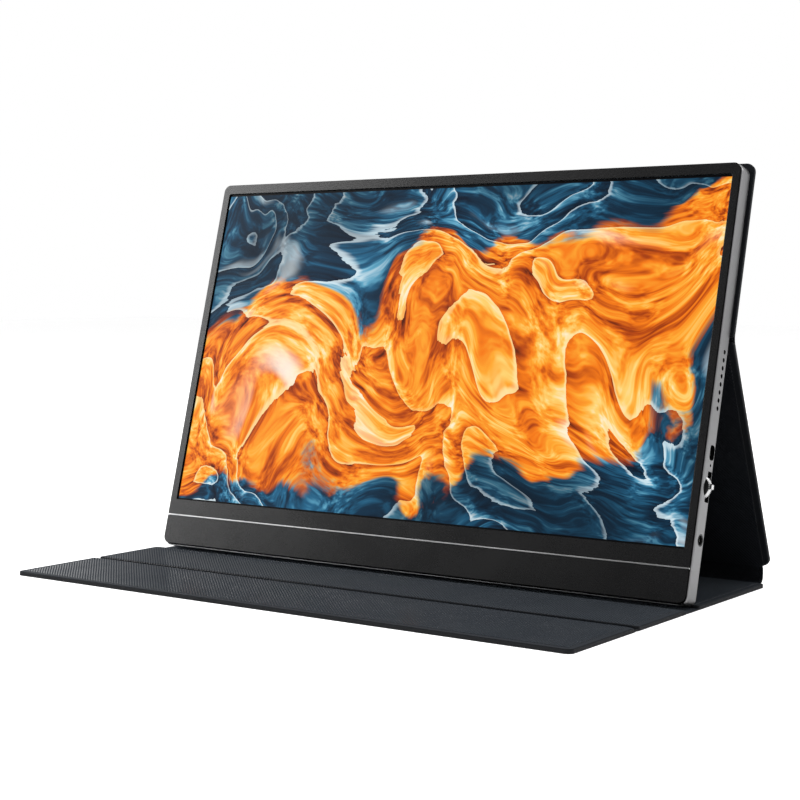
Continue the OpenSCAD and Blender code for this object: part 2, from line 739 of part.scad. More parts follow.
module panel_skin(w, len, kinds, gaps, radii) {
    low = fabric_start(kinds[0]);
    high = len - fabric_start(kinds[1]);
    board_low = board_start(kinds[0], gaps[0]);
    board_high = len - board_start(kinds[1], gaps[1]);
    difference() {
        linear_extrude(panel_t - lining_t) outline(w, low, high, radii[0], radii[1]);
        translate([0, 0, skin_t]) linear_extrude(panel_t)
            outline(w - 2 * skin_t, board_low - fit, board_high + fit,
                max(radii[0] - skin_t, 0), max(radii[1] - skin_t, 0));
        if (kinds[0] != "free") translate([-w, low - past, skin_t])
            cube([2 * w, board_low - fit - low + past, panel_t]);
        if (kinds[1] != "free") translate([-w, board_high + fit, skin_t])
            cube([2 * w, high - board_high + past, panel_t]);
    }
    if (kinds[0] == "bead") fold_bead(w - 2 * radii[0], 0);
    if (kinds[1] == "bead") fold_bead(w - 2 * radii[1], len);
}

module fold_bead(w, place) {
    translate([0, place, bead_r]) rotate([0, 90, 0]) cylinder(r = bead_r, h = w, center = true);
}

module panel_board(w, len, kinds, gaps, radii) {
    side = skin_t + fit;
    translate([0, 0, skin_t]) linear_extrude(stiff_t)
        outline(w - 2 * side, board_start(kinds[0], gaps[0]), len - board_start(kinds[1], gaps[1]),
            max(radii[0] - side, 0), max(radii[1] - side, 0));
}

// The lining lies over the board and steps down to the skin beside each fold
module panel_lining(w, len, kinds, gaps, radii) {
    step_low = board_start(kinds[0], gaps[0]) - fit - lining_t;
    step_high = len - board_start(kinds[1], gaps[1]) + fit;
    low = lining_start(kinds[0], step_low);
    high = len - lining_start(kinds[1], 0);
    top_low = kinds[0] == "free" ? low : step_low;
    top_high = kinds[1] == "free" ? high : step_high + lining_t;
    intersection() {
        linear_extrude(panel_t + past) outline(w - 2 * hem, low, high,
            max(radii[0] - hem, 0), max(radii[1] - hem, 0));
        union() {
            translate([-w / 2, top_low, panel_t - lining_t]) cube([w, top_high - top_low, lining_t]);
            if (kinds[0] != "free") lining_step(w, low, step_low + lining_t, step_low);
            if (kinds[1] != "free") lining_step(w, step_high, high, step_high);
        }
    }
}

module lining_step(w, low, high, step) {
    translate([-w / 2, low, skin_t]) cube([w, high - low, lining_t]);
    translate([-w / 2, step, skin_t]) cube([w, lining_t, panel_t - skin_t]);
}

// The panels, from the front of the opened cover to its back
flap_kinds = ["free", "plain"];
flap_gaps = [0, crease];
flap_radii = [cover_r, 0];
mid_kinds = ["bead", "plain"];
mid_gaps = [crease, crease];
straight = [0, 0];
base_kinds = ["joined", "bead"];
base_gaps = [0, crease];
base_len = base_rear - groove_back;
base_radii = [0, cover_r];
leg_kinds = ["plain", "bead"];
leg_radii = [cover_r, 0];
upper_kinds = ["plain", "free"];
upper_gaps = [crease, 0];
upper_radii = [0, cover_r];
flap_start = -groove_front - mid_len - flap_len;
mid_start = -groove_front - mid_len;

skin_color = [0.1, 0.105, 0.12];
lining_color = [0.2, 0.21, 0.24];
board_color = [0.55, 0.5, 0.42];

module flap_skin() color(skin_color) floor_frame(flap_start)
    panel_skin(cover_w, flap_len, flap_kinds, flap_gaps, flap_radii);

module flap_board() color(board_color) floor_frame(flap_start)
    panel_board(cover_w, flap_len, flap_kinds, flap_gaps, flap_radii);

module flap_lining() color(lining_color) floor_frame(flap_start)
    panel_lining(cover_w, flap_len, flap_kinds, flap_gaps, flap_radii);

module mid_skin() color(skin_color) floor_frame(mid_start)
    panel_skin(cover_w, mid_len, mid_kinds, mid_gaps, straight);

module mid_board() color(board_color) floor_frame(mid_start)
    panel_board(cover_w, mid_len, mid_kinds, mid_gaps, straight);

module mid_lining() color(lining_color) floor_frame(mid_start)
    panel_lining(cover_w, mid_len, mid_kinds, mid_gaps, straight);

// The soft groove that the monitor stands in, with the middle panel's fold at its front
module groove_skin() color(skin_color) floor_frame(-groove_front) {
    linear_extrude(skin_t) outline(cover_w, 0, groove_w);
    fold_bead(cover_w, 0);
}

module groove_lining() color(lining_color) floor_frame(-groove_front) translate([0, 0, skin_t])
    linear_extrude(lining_t) outline(cover_w - 2 * hem, bead_r + fit, groove_w - fit - lining_t);

module base_skin() color(skin_color) floor_frame(groove_back)
    panel_skin(cover_w, base_len, base_kinds, base_gaps, base_radii);

module base_board() color(board_color) floor_frame(groove_back)
    panel_board(cover_w, base_len, base_kinds, base_gaps, base_radii);

module base_lining() color(lining_color) floor_frame(groove_back)
    panel_lining(cover_w, base_len, base_kinds, base_gaps, base_radii);

module spine_skin() color(skin_color) panel_frame(rear_fold, spine_angle) {
    linear_extrude(skin_t) outline(spine_w, bead_r + fold_gap, spine_len);
    fold_bead(spine_w, spine_len);
}

module spine_lining() color(lining_color) panel_frame(rear_fold, spine_angle)
    translate([0, 0, skin_t]) linear_extrude(lining_t)
        outline(spine_w - 2 * hem, bead_r + fold_gap, spine_len - bead_r - fit);

module leg_skin() color(skin_color) panel_frame(leg_fold, leg_angle)
    panel_skin(cover_w, leg_len, leg_kinds, mid_gaps, leg_radii);

module leg_board() color(board_color) panel_frame(leg_fold, leg_angle)
    panel_board(cover_w, leg_len, leg_kinds, mid_gaps, leg_radii);

module leg_lining() color(lining_color) panel_frame(leg_fold, leg_angle)
    panel_lining(cover_w, leg_len, leg_kinds, mid_gaps, leg_radii);

module upper_skin() color(skin_color) panel_frame(top_fold, 90 - tilt)
    panel_skin(cover_w, upper_len, upper_kinds, upper_gaps, upper_radii);

// Pockets for the magnets, open towards the monitor
module cover_magnet_places(grow) {
    for (x = [-3, -1, 1, 3])
        translate([x * monitor_w / 8 - magnet_len / 2 - grow, upper_len / 2 - grow, panel_t - lining_t - magnet_t])
            cube([magnet_len + 2 * grow, magnet_w + 2 * grow, magnet_t + grow * past]);
}

module upper_board() color(board_color) panel_frame(top_fold, 90 - tilt) difference() {
    panel_board(cover_w, upper_len, upper_kinds, upper_gaps, upper_radii);
    cover_magnet_places(fit);
}

module cover_magnets() color([0.7, 0.7, 0.72]) panel_frame(top_fold, 90 - tilt) cover_magnet_places(0);

module upper_lining() color(lining_color) panel_frame(top_fold, 90 - tilt)
    panel_lining(cover_w, upper_len, upper_kinds, upper_gaps, upper_radii);

rear_shell();
front_bezel();
chin_plate();
chin_trim_strip();
screen_gasket();
antiglare_film();
lcd_cell();
optical_sheets();
light_guide();
reflector_sheet();
led_strip();
display_tray();
driver_films();
driver_board();
display_cable();
main_board();
scaler_chip();
board_chips();
left_board();
left_chips();
board_screws();
usb_c_right();
usb_c_left();
usb_tongues();
video_socket();
audio_jack();
speaker_right();
speaker_left();
status_light_pipe();
jog_switch();
power_switch();
shell_magnets();
jog_carrier();
jog_hub();
jog_rim();
power_button();
upper_skin();
upper_board();
upper_lining();
cover_magnets();
leg_skin();
leg_board();
leg_lining();
spine_skin();
spine_lining();
base_skin();
base_board();
base_lining();
groove_skin();
groove_lining();
mid_skin();
mid_board();
mid_lining();
flap_skin();
flap_board();
flap_lining();
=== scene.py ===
import json
import math

import bmesh
import bpy
from mathutils import Matrix, Vector
from mathutils.geometry import interpolate_bezier


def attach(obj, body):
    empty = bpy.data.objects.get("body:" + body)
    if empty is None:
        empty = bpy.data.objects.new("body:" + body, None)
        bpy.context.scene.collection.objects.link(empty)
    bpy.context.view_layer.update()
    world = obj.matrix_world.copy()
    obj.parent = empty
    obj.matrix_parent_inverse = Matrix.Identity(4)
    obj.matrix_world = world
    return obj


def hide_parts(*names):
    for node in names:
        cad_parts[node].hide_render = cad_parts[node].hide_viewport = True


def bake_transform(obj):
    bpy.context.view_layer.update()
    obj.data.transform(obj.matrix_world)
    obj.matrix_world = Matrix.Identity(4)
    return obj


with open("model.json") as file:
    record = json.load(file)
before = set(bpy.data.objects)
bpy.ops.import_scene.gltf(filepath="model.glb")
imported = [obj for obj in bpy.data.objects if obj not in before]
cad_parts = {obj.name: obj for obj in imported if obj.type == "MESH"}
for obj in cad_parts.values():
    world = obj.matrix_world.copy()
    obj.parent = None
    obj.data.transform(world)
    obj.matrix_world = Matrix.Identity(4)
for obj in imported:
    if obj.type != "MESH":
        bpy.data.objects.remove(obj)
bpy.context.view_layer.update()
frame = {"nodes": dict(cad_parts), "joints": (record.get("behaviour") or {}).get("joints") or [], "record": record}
mm = 0.001


def inMm(**sizes):  # settings written in millimetres
    return {name: size * mm for name, size in sizes.items()}


# camera

viewPoint = {"place": (0.549, -0.7595, 0.1612), "turn": 35.70, "down": 3.78, "lens": 76.59}


def makeCamera():
    camera = bpy.data.objects.new("camera", bpy.data.cameras.new("camera"))
    camera.data.lens = viewPoint["lens"]
    camera.data.clip_start = 0.02
    camera.location = viewPoint["place"]
    camera.rotation_euler = (math.radians(90 - viewPoint["down"]), 0, math.radians(viewPoint["turn"]))
    bpy.context.scene.collection.objects.link(camera)
    bpy.context.scene.camera = camera


makeCamera()
bpy.context.scene.view_settings.view_transform = "Standard"
print("camera placed")

# places read from the frame

joints = {joint["name"]: joint for joint in frame["joints"]}
upScreen = Vector(joints["monitor_lift"]["axis"]).normalized()
lean = math.atan2(upScreen.y, upScreen.z)


def spanOf(node, place):  # a node's lowest and highest corner along a piece's own axes
    back = place.inverted()
    points = [back @ vertex.co for vertex in frame["nodes"][node].data.vertices]
    low = Vector([min(point[axis] for point in points) for axis in range(3)])
    high = Vector([max(point[axis] for point in points) for axis in range(3)])
    return low, high


leanOnly = Matrix.Rotation(-lean, 4, "X")
seat = spanOf("rear_shell", leanOnly)[0].z / math.cos(lean)
monitorPlace = Matrix.Translation((0, 0, seat)) @ leanOnly  # x across, y into the screen, z up it


def foldPoint(joint):
    return Vector(joints[joint]["pos_m"])


skinMiddle = foldPoint("mid_fold").z


def panelPlace(start, towards):  # y runs along the panel, z to the side that faces the monitor
    way = towards - start
    turn = Matrix.Rotation(math.atan2(way.z, way.y), 4, "X")
    return Matrix.Translation(start) @ turn @ Matrix.Translation((0, 0, -skinMiddle))


floorPlace = Matrix.Identity(4)
legPlace = panelPlace(foldPoint("leg_fold"), foldPoint("top_fold"))
upperPlace = panelPlace(foldPoint("top_fold"), foldPoint("top_fold") + upScreen)

# mesh helpers


def addBox(bm, low, high):
    low = Vector(low)
    high = Vector(high)
    scale = Matrix.Diagonal((*(high - low), 1))
    return bmesh.ops.create_cube(bm, size=1, matrix=Matrix.Translation((low + high) / 2) @ scale)["verts"]


def addRod(bm, start, end, radius, steps):  # a closed round bar along x
    middle = Matrix.Translation((start + end) / 2)
    bmesh.ops.create_cone(bm, cap_ends=True, segments=steps, radius1=radius, radius2=radius,
                          depth=(end - start).length, matrix=middle @ Matrix.Rotation(math.pi / 2, 4, "Y"))


def edgesAlong(bm, axis, test=None):
    picked = []
    for edge in bm.edges:
        first, second = (vertex.co for vertex in edge.verts)
        if abs((second - first).normalized()[axis]) > 0.999 and (test is None or test((first + second) / 2)):
            picked.append(edge)
    return picked


def edgesAt(bm, axis, level, test=None, sharpest=0.8):  # the sharp edges that lie in one plane
    picked = []
    for edge in bm.edges:
        if any(abs(vertex.co[axis] - level) > 2e-6 for vertex in edge.verts) or len(edge.link_faces) != 2:
            continue
        middle = (edge.verts[0].co + edge.verts[1].co) / 2
        if edge.calc_face_angle(0) > sharpest and (test is None or test(middle)):
            picked.append(edge)
    return picked


def roundOff(bm, edges, radius, steps=3):
    if edges:
        bmesh.ops.bevel(bm, geom=edges, offset=radius, segments=steps, affect="EDGES", profile=0.5,
                        material=-1, clamp_overlap=True)


def openAt(bm, axis, *levels):  # takes away the faces that lie in these planes
    for level in levels:
        flat = [face for face in bm.faces if all(abs(v.co[axis] - level) < 2e-6 for v in face.verts)]
        bmesh.ops.delete(bm, geom=flat, context="FACES_ONLY")


def thicken(bm, axis, wall):  # gives an open shell its wall, inwards from the faces as they are
    bmesh.ops.recalc_face_normals(bm, faces=bm.faces)
    bm.normal_update()
    if max(bm.faces, key=lambda side: side.calc_center_median()[axis]).normal[axis] < 0:
        bmesh.ops.reverse_faces(bm, faces=bm.faces)
    bmesh.ops.solidify(bm, geom=bm.faces, thickness=wall)


def absorb(bm, other):  # adds another mesh to this one
    mesh = bpy.data.meshes.new("joined")
    other.to_mesh(mesh)
    other.free()
    bm.from_mesh(mesh)
    bpy.data.meshes.remove(mesh)


def sliceAt(bm, axis, level, **settings):
    normal = Vector([float(index == axis) for index in range(3)])
    return bmesh.ops.bisect_plane(bm, geom=bm.verts[:] + bm.edges[:] + bm.faces[:], dist=1e-7,
                                  plane_co=normal * level, plane_no=normal, **settings)["geom_cut"]


def paint(bm, slot, test):  # gives a material slot to the faces whose middle passes the test
    for face in bm.faces:
        if test(face.calc_center_median(), face.normal):
            face.material_index = slot


def layFlat(bm, along=0.0):  # a map in metres, seen along each face's main direction
    layer = bm.loops.layers.uv.new("flat")
    bm.normal_update()
    for face in bm.faces:
        main = max(range(3), key=lambda axis: abs(face.normal[axis]))
        first, second = [(1, 2), (0, 2), (0, 1)][main]
        for loop in face.loops:
            loop[layer].uv = (loop.vert.co[first], loop.vert.co[second] + along)


def makeMesh(name, bm, coats=(), place=None, sharpAngle=32):
    bmesh.ops.remove_doubles(bm, verts=bm.verts, dist=1e-7)
    loose = [edge for edge in bm.edges if not edge.link_faces]
    bmesh.ops.delete(bm, geom=loose, context="EDGES")
    bmesh.ops.recalc_face_normals(bm, faces=bm.faces)
    for face in bm.faces:
        face.smooth = True
    for edge in bm.edges:
        edge.smooth = edge.is_manifold and edge.calc_face_angle(0) < math.radians(sharpAngle)
    bm.transform(place or floorPlace)
    mesh = bpy.data.meshes.new(name)
    bm.to_mesh(mesh)
    bm.free()
    for coat in coats:
        mesh.materials.append(finishes[coat])
    piece = bpy.data.objects.new(name, mesh)
    bpy.context.scene.collection.objects.link(piece)
    return piece


def carry(piece, body, nodes):
    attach(piece, body)
    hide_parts(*nodes)
    evened = piece.modifiers.new("evenShade", "WEIGHTED_NORMAL")  # flat faces stay flat beside round edges
    evened.keep_sharp = True
    evened.weight = 50


def carve(bm, knives):
    solid = makeMesh("solid", bm)
    knife = makeMesh("knife", knives)
    cut = solid.modifiers.new("cut", "BOOLEAN")
    cut.operation = "DIFFERENCE"
    cut.solver = "EXACT"
    cut.object = knife
    shape = solid.evaluated_get(bpy.context.evaluated_depsgraph_get())
    carved = bmesh.new()
    carved.from_mesh(shape.to_mesh())
    shape.to_mesh_clear()
    for spent in (solid, knife):
        mesh = spent.data
        bpy.data.objects.remove(spent)
        bpy.data.meshes.remove(mesh)
    return carved


# node helpers, which work in the tree of the sockets they are given


def add(tree, kind, inputs=None, **settings):
    made = tree.nodes.new(kind)
    for key, value in settings.items():
        setattr(made, key, value)
    for key, value in (inputs or {}).items():
        join(value, made.inputs[key])
    return made


def join(value, socket):
    if isinstance(value, bpy.types.NodeSocket):
        socket.id_data.links.new(value, socket)
    elif hasattr(value, "__len__") and socket.type == "RGBA" and len(value) == 3:
        socket.default_value = (*value, 1)
    else:
        socket.default_value = value


def calc(operation, *values):
    tree = next(value.id_data for value in values if isinstance(value, bpy.types.NodeSocket))
    return add(tree, "ShaderNodeMath", dict(enumerate(values)), operation=operation).outputs[0]


def times(first, second):
    return calc("MULTIPLY", first, second)


def timesPlus(first, second, third):
    return calc("MULTIPLY_ADD", first, second, third)


def vectorCalc(operation, first, inputs):
    return add(first.id_data, "ShaderNodeVectorMath", {0: first, **inputs}, operation=operation).outputs


def mixColours(share, first, second):
    made = add(share.id_data, "ShaderNodeMix", {0: share}, data_type="RGBA")
    sockets = [socket for socket in made.inputs if socket.type == "RGBA"]
    join(first, sockets[0])
    join(second, sockets[1])
    return [socket for socket in made.outputs if socket.type == "RGBA"][0]


def grade(value, low, high, toLow=0.0, toHigh=1.0, kind="SMOOTHSTEP"):
    inputs = {"Value": value, "From Min": low, "From Max": high, "To Min": toLow, "To Max": toHigh}
    return add(value.id_data, "ShaderNodeMapRange", inputs, interpolation_type=kind).outputs[0]


def ramp(value, stops):
    made = add(value.id_data, "ShaderNodeValToRGB", {"Fac": value})
    elements = made.color_ramp.elements
    while len(elements) < len(stops):
        elements.new(0.5)
    for element, (place, colour) in zip(elements, stops):
        element.position = place
        element.color = (*colour, 1)
    return made.outputs["Color"]


def noiseOf(vector, scale, detail=2.0, roughness=0.5, output="Fac"):
    inputs = {"Vector": vector, "Scale": scale, "Detail": detail, "Roughness": roughness}
    return add(vector.id_data, "ShaderNodeTexNoise", inputs).outputs[output]


def bent(vector, scale, reach, detail=2.0, roughness=0.5, centre=0.5):  # a place pushed about by noise
    push = noiseOf(vector, scale, detail, roughness, "Color")
    push = vectorCalc("SUBTRACT", push, {1: (centre, centre, centre)})[0]
    push = vectorCalc("SCALE", push, {"Scale": reach})[0]
    return vectorCalc("ADD", vector, {1: push})[0]


def splitUp(vector):
    return add(vector.id_data, "ShaderNodeSeparateXYZ", {0: vector}).outputs


def newGroup(name, size, start, *outputs):  # each effect takes a place and one number
    group = bpy.data.node_groups.new(name, "ShaderNodeTree")
    group.interface.new_socket(name="Vector", in_out="INPUT", socket_type="NodeSocketVector")
    number = group.interface.new_socket(name=size, in_out="INPUT", socket_type="NodeSocketFloat")
    number.default_value = start
    for label in outputs:
        group.interface.new_socket(name=label, in_out="OUTPUT", socket_type="NodeSocketFloat")
    place, number = list(group.nodes.new("NodeGroupInput").outputs)[:2]
    return group, place, number, group.nodes.new("NodeGroupOutput").inputs


def useGroup(group, place, **numbers):
    return add(place.id_data, "ShaderNodeGroup", {"Vector": place, **numbers}, node_tree=group).outputs


# effects that several finishes use


def makeFineGrain():  # shallow moulded or blasted grain
    tree, place, size, wanted = newGroup("fineGrain", "Size", 4000.0, "Height", "Tone")
    fine = noiseOf(place, size, 2.0, 0.6)
    broad = noiseOf(place, 28.0, 3.0, 0.55)
    join(fine, wanted["Height"])
    join(calc("ADD", times(fine, 0.5), times(broad, 0.5)), wanted["Tone"])
    return tree


def makeEdgeWear():  # a mask along edges and corners, broken up a little
    tree, place, size, wanted = newGroup("edgeWear", "Width", 0.0004, "Mask")
    rounded = add(tree, "ShaderNodeBevel", {"Radius": size}, samples=6).outputs[0]
    flat = add(tree, "ShaderNodeNewGeometry").outputs["Normal"]
    dot = vectorCalc("DOT_PRODUCT", rounded, {1: flat})["Value"]
    edge = grade(calc("SUBTRACT", 1.0, dot), 0.01, 0.2)
    broken = grade(noiseOf(place, 260.0, 3.0, 0.65), 0.3, 0.7, 0.35, 1.0)
    join(times(edge, broken), wanted["Mask"])
    return tree


def makeSoftDust():  # a thin film of dust and finger haze, more on faces that look up
    tree, place, size, wanted = newGroup("softDust", "Amount", 0.2, "Mask")
    normal = add(tree, "ShaderNodeNewGeometry").outputs["Normal"]
    upward = grade(splitUp(normal)["Z"], 0.1, 0.95, 0.35, 1.0)
    cloud = grade(noiseOf(place, 34.0, 4.0, 0.6), 0.35, 0.75)
    specks = grade(noiseOf(place, 1500.0, 1.0), 0.66, 0.78)
    film = calc("ADD", times(cloud, 0.6), times(specks, 0.4))
    join(times(times(film, upward), size), wanted["Mask"])
    return tree


def makeBrushedLines():  # long fine lines along the direction in which Vector is stretched
    tree, place, size, wanted = newGroup("brushedLines", "Size", 900.0, "Height", "Tone")
    lines = noiseOf(place, size, 3.0, 0.7)
    soft = noiseOf(place, times(size, 0.2), 2.0)
    join(lines, wanted["Height"])
    join(calc("ADD", times(lines, 0.6), times(soft, 0.4)), wanted["Tone"])
    return tree


def makeTwillRibs():  # slanted ribs, each broken into short floats of yarn
    tree, place, size, wanted = newGroup("twillRibs", "Pitch", 0.002, "Height", "Tone")
    split = splitUp(bent(place, 90.0, 0.0005))
    slant = math.sqrt(0.5) * 2 * math.pi
    across = times(calc("ADD", split["X"], split["Y"]), slant)
    along = times(calc("SUBTRACT", split["X"], split["Y"]), slant * 2)
    rib = calc("SINE", calc("DIVIDE", across, size))
    rounded = calc("POWER", timesPlus(rib, 0.5, 0.5), 0.6)
    phase = calc("ADD", calc("DIVIDE", along, size), calc("DIVIDE", across, size))
    yarn = timesPlus(calc("SINE", phase), 0.5, 0.5)
    height = times(rounded, timesPlus(yarn, 0.25, 0.75))
    faded = grade(noiseOf(place, 60.0), 0.3, 0.7, 0.8, 1.0)
    join(height, wanted["Height"])
    join(times(height, faded), wanted["Tone"])
    return tree


def makeLeatherGrain():  # pebbles with fine creases between them
    tree, place, size, wanted = newGroup("leatherGrain", "Size", 1100.0, "Height", "Tone")
    moved = bent(place, times(size, 0.4), 0.0012, centre=0.0)
    pebbles = add(tree, "ShaderNodeTexVoronoi", {"Vector": moved, "Scale": size},
                  feature="DISTANCE_TO_EDGE").outputs["Distance"]
    dome = grade(pebbles, 0.0, 0.28)
    broad = noiseOf(place, 45.0, 3.0, 0.6)
    join(timesPlus(broad, 0.3, times(dome, 0.7)), wanted["Height"])
    join(timesPlus(broad, 0.5, times(dome, 0.5)), wanted["Tone"])
    return tree


fineGrain = makeFineGrain()
edgeWear = makeEdgeWear()
softDust = makeSoftDust()
brushedLines = makeBrushedLines()
twillRibs = makeTwillRibs()
leatherGrain = makeLeatherGrain()
print("shared effects made")

# finishes

finishes = {}


def newFinish(name, **settings):
    material = bpy.data.materials.new(name)
    material.use_nodes = True
    tree = material.node_tree
    shader = tree.nodes["Principled BSDF"].inputs
    for label, value in settings.items():
        join(value, shader[label.replace("_", " ")])
    finishes[name] = material
    return tree, shader


def objectPlace(tree, scale=(1, 1, 1), turn=(0, 0, 0), shift=(0, 0, 0)):
    source = add(tree, "ShaderNodeTexCoord").outputs["Object"]
    return add(tree, "ShaderNodeMapping", {"Vector": source, "Location": shift, "Rotation": turn,
                                           "Scale": scale}, vector_type="POINT").outputs[0]


def flatPlace(tree):
    return add(tree, "ShaderNodeUVMap", uv_map="flat").outputs[0]


def raised(height, depth):
    return add(height.id_data, "ShaderNodeBump", {"Height": height, "Distance": depth}).outputs[0]


def layered(name, shades, rough, grainSize, bump, wear, dust, worn, dusty, haze, polish, stretch=(1, 1, 1),
            effect=None, **settings):  # grain, worn edges and a film of dust over two close shades
    tree, shader = newFinish(name, **settings)
    place = objectPlace(tree, scale=stretch)
    grain = useGroup(effect or fineGrain, place, Size=grainSize)
    bare = useGroup(edgeWear, place, Width=wear)["Mask"]
    film = useGroup(softDust, objectPlace(tree), Amount=dust)["Mask"]
    colour = mixColours(bare, mixColours(grade(grain["Tone"], 0.3, 0.7), *shades), worn)
    join(mixColours(film, colour, dusty), shader["Base Color"])
    roughness = calc("ADD", grade(grain["Tone"], 0.3, 0.7, *rough), times(film, haze))
    join(timesPlus(bare, -polish, roughness), shader["Roughness"])
    join(raised(grain["Height"], bump), shader["Normal"])


def metalFinish(name, dark, light, rough, grainSize=4000.0, bump=0.00001, wear=0.0004, dust=0.15, **settings):
    layered(name, (dark, light), rough, grainSize, bump, wear, dust, [min(1, part * 1.25) for part in light],
            (0.42, 0.41, 0.4), haze=0.2, polish=0.08, Metallic=1.0, **settings)


def plasticFinish(name, dark, light, rough, grainSize=3000.0, bump=0.00002, wear=0.0003, dust=0.2,
                  **settings):
    layered(name, (dark, light), rough, grainSize, bump, wear, dust,
            [min(1, part * 1.5 + 0.01) for part in light], [part * 0.7 + 0.06 for part in light],
            haze=0.3, polish=0.1, **settings)


# the slight gloss and bluish bloom that the cover's cloth and its hem share
bloom = {"Sheen_Weight": 0.115, "Sheen_Roughness": 0.4, "Sheen_Tint": (0.72, 0.85, 1.0, 1.0)}

metalFinish("shellAluminium", (0.27, 0.27, 0.275), (0.3, 0.3, 0.305), (0.34, 0.42), 5200.0, 0.000012)
metalFinish("trimMetal", (0.6, 0.6, 0.605), (0.64, 0.64, 0.64), (0.34, 0.4), 1500.0, 0.0000005,
            wear=0.00005, dust=0.02)
metalFinish("wheelMetal", (0.72, 0.72, 0.73), (0.8, 0.8, 0.8), (0.2, 0.3), 5000.0, 0.000004, wear=0.0002)
metalFinish("nickel", (0.6, 0.59, 0.57), (0.7, 0.69, 0.67), (0.2, 0.3), 4000.0, 0.000004, wear=0.0002)
metalFinish("goldContact", (0.7, 0.5, 0.2), (0.8, 0.6, 0.28), (0.25, 0.35), 5000.0, 0.000002, wear=0.0001)
metalFinish("steelSheet", (0.5, 0.5, 0.51), (0.6, 0.6, 0.61), (0.32, 0.45), 2600.0, 0.00001,
            stretch=(0.03, 1, 1), effect=brushedLines)
metalFinish("screwSteel", (0.5, 0.5, 0.5), (0.62, 0.62, 0.62), (0.25, 0.35), 5000.0, 0.000004)
metalFinish("magnetMetal", (0.6, 0.6, 0.6), (0.7, 0.7, 0.7), (0.2, 0.35), 1500.0, 0.00001)
# painted shade: a dark grey finish for the inside of the case, so that the gaps into it read as dark
plasticFinish("shellInsideShade", (0.03, 0.031, 0.033), (0.05, 0.051, 0.054), (0.5, 0.6), Metallic=0.3)
plasticFinish("bezelPlastic", (0.009, 0.009, 0.0095), (0.011, 0.011, 0.0115), (0.25, 0.29), 3600.0,
              0.00001, wear=0.00012, dust=0.1)
# painted shade: a near-black finish laid on edges, seams, hole walls and the jack's mouth, where shadow falls
plasticFinish("paintedSeamShade", (0.0008, 0.0008, 0.0008), (0.002, 0.002, 0.002), (0.7, 0.8), 3000.0, 0.00001,
              wear=0.00001, dust=0.0, Specular_IOR_Level=0.05)
plasticFinish("hem", (0.0065, 0.0073, 0.009), (0.0085, 0.0095, 0.0115), (0.5, 0.6), 1800.0, 0.00003,
              dust=0.05, Specular_IOR_Level=0.06, **bloom)
# painted highlight: a near-white finish standing in for the bright reflection on the far wall of the USB mouth
plasticFinish("usbMouthHighlight", (0.86, 0.86, 0.86), (0.92, 0.92, 0.92), (0.3, 0.4), wear=0.00001, dust=0.0)
plasticFinish("controlPlastic", (0.012, 0.012, 0.013), (0.02, 0.02, 0.021), (0.35, 0.45), wear=0.0001)
plasticFinish("chipPlastic", (0.02, 0.02, 0.022), (0.035, 0.035, 0.037), (0.4, 0.5))
plasticFinish("blackFoam", (0.012, 0.012, 0.012), (0.03, 0.03, 0.03), (0.85, 0.95), 2200.0, 0.0001)
plasticFinish("fibreBoard", (0.2, 0.16, 0.11), (0.3, 0.25, 0.18), (0.8, 0.9), 900.0, 0.0001)
plasticFinish("opticalFilm", (0.8, 0.81, 0.8), (0.88, 0.88, 0.87), (0.35, 0.5), 2600.0, 0.00001, dust=0.05)
plasticFinish("boardMask", (0.008, 0.06, 0.03), (0.012, 0.09, 0.045), (0.25, 0.35), 1500.0, 0.00002)
plasticFinish("cableFilm", (0.42, 0.2, 0.04), (0.55, 0.28, 0.06), (0.2, 0.3), 1500.0, 0.00001,
              Coat_Weight=0.5)


def makeClearFinishes():
    for name, colour, rough, share in (("panelGlass", (0.07, 0.09, 0.11), (0.05, 0.12), 0.25),
                                       ("lightPipe", (0.55, 0.62, 0.58), (0.15, 0.25), 0.5)):
        tree, shader = newFinish(name, IOR=1.49, Transmission_Weight=share)
        place = objectPlace(tree)
        grain = useGroup(fineGrain, place, Size=900.0)
        film = useGroup(softDust, place, Amount=0.2)["Mask"]
        lighter = [part * 1.15 for part in colour]
        tint = mixColours(grade(grain["Tone"], 0.3, 0.7), colour, lighter)
        join(mixColours(film, tint, (0.4, 0.4, 0.4)), shader["Base Color"])
        join(calc("ADD", grade(grain["Tone"], 0.3, 0.7, *rough), times(film, 0.3)), shader["Roughness"])
        join(raised(grain["Height"], 0.000004), shader["Normal"])


makeClearFinishes()

picture = {"slant": math.radians(32),
           **inMm(left=-171.1, right=172.1, halfHigh=96.8, middle=126.0, edge=0.25)}


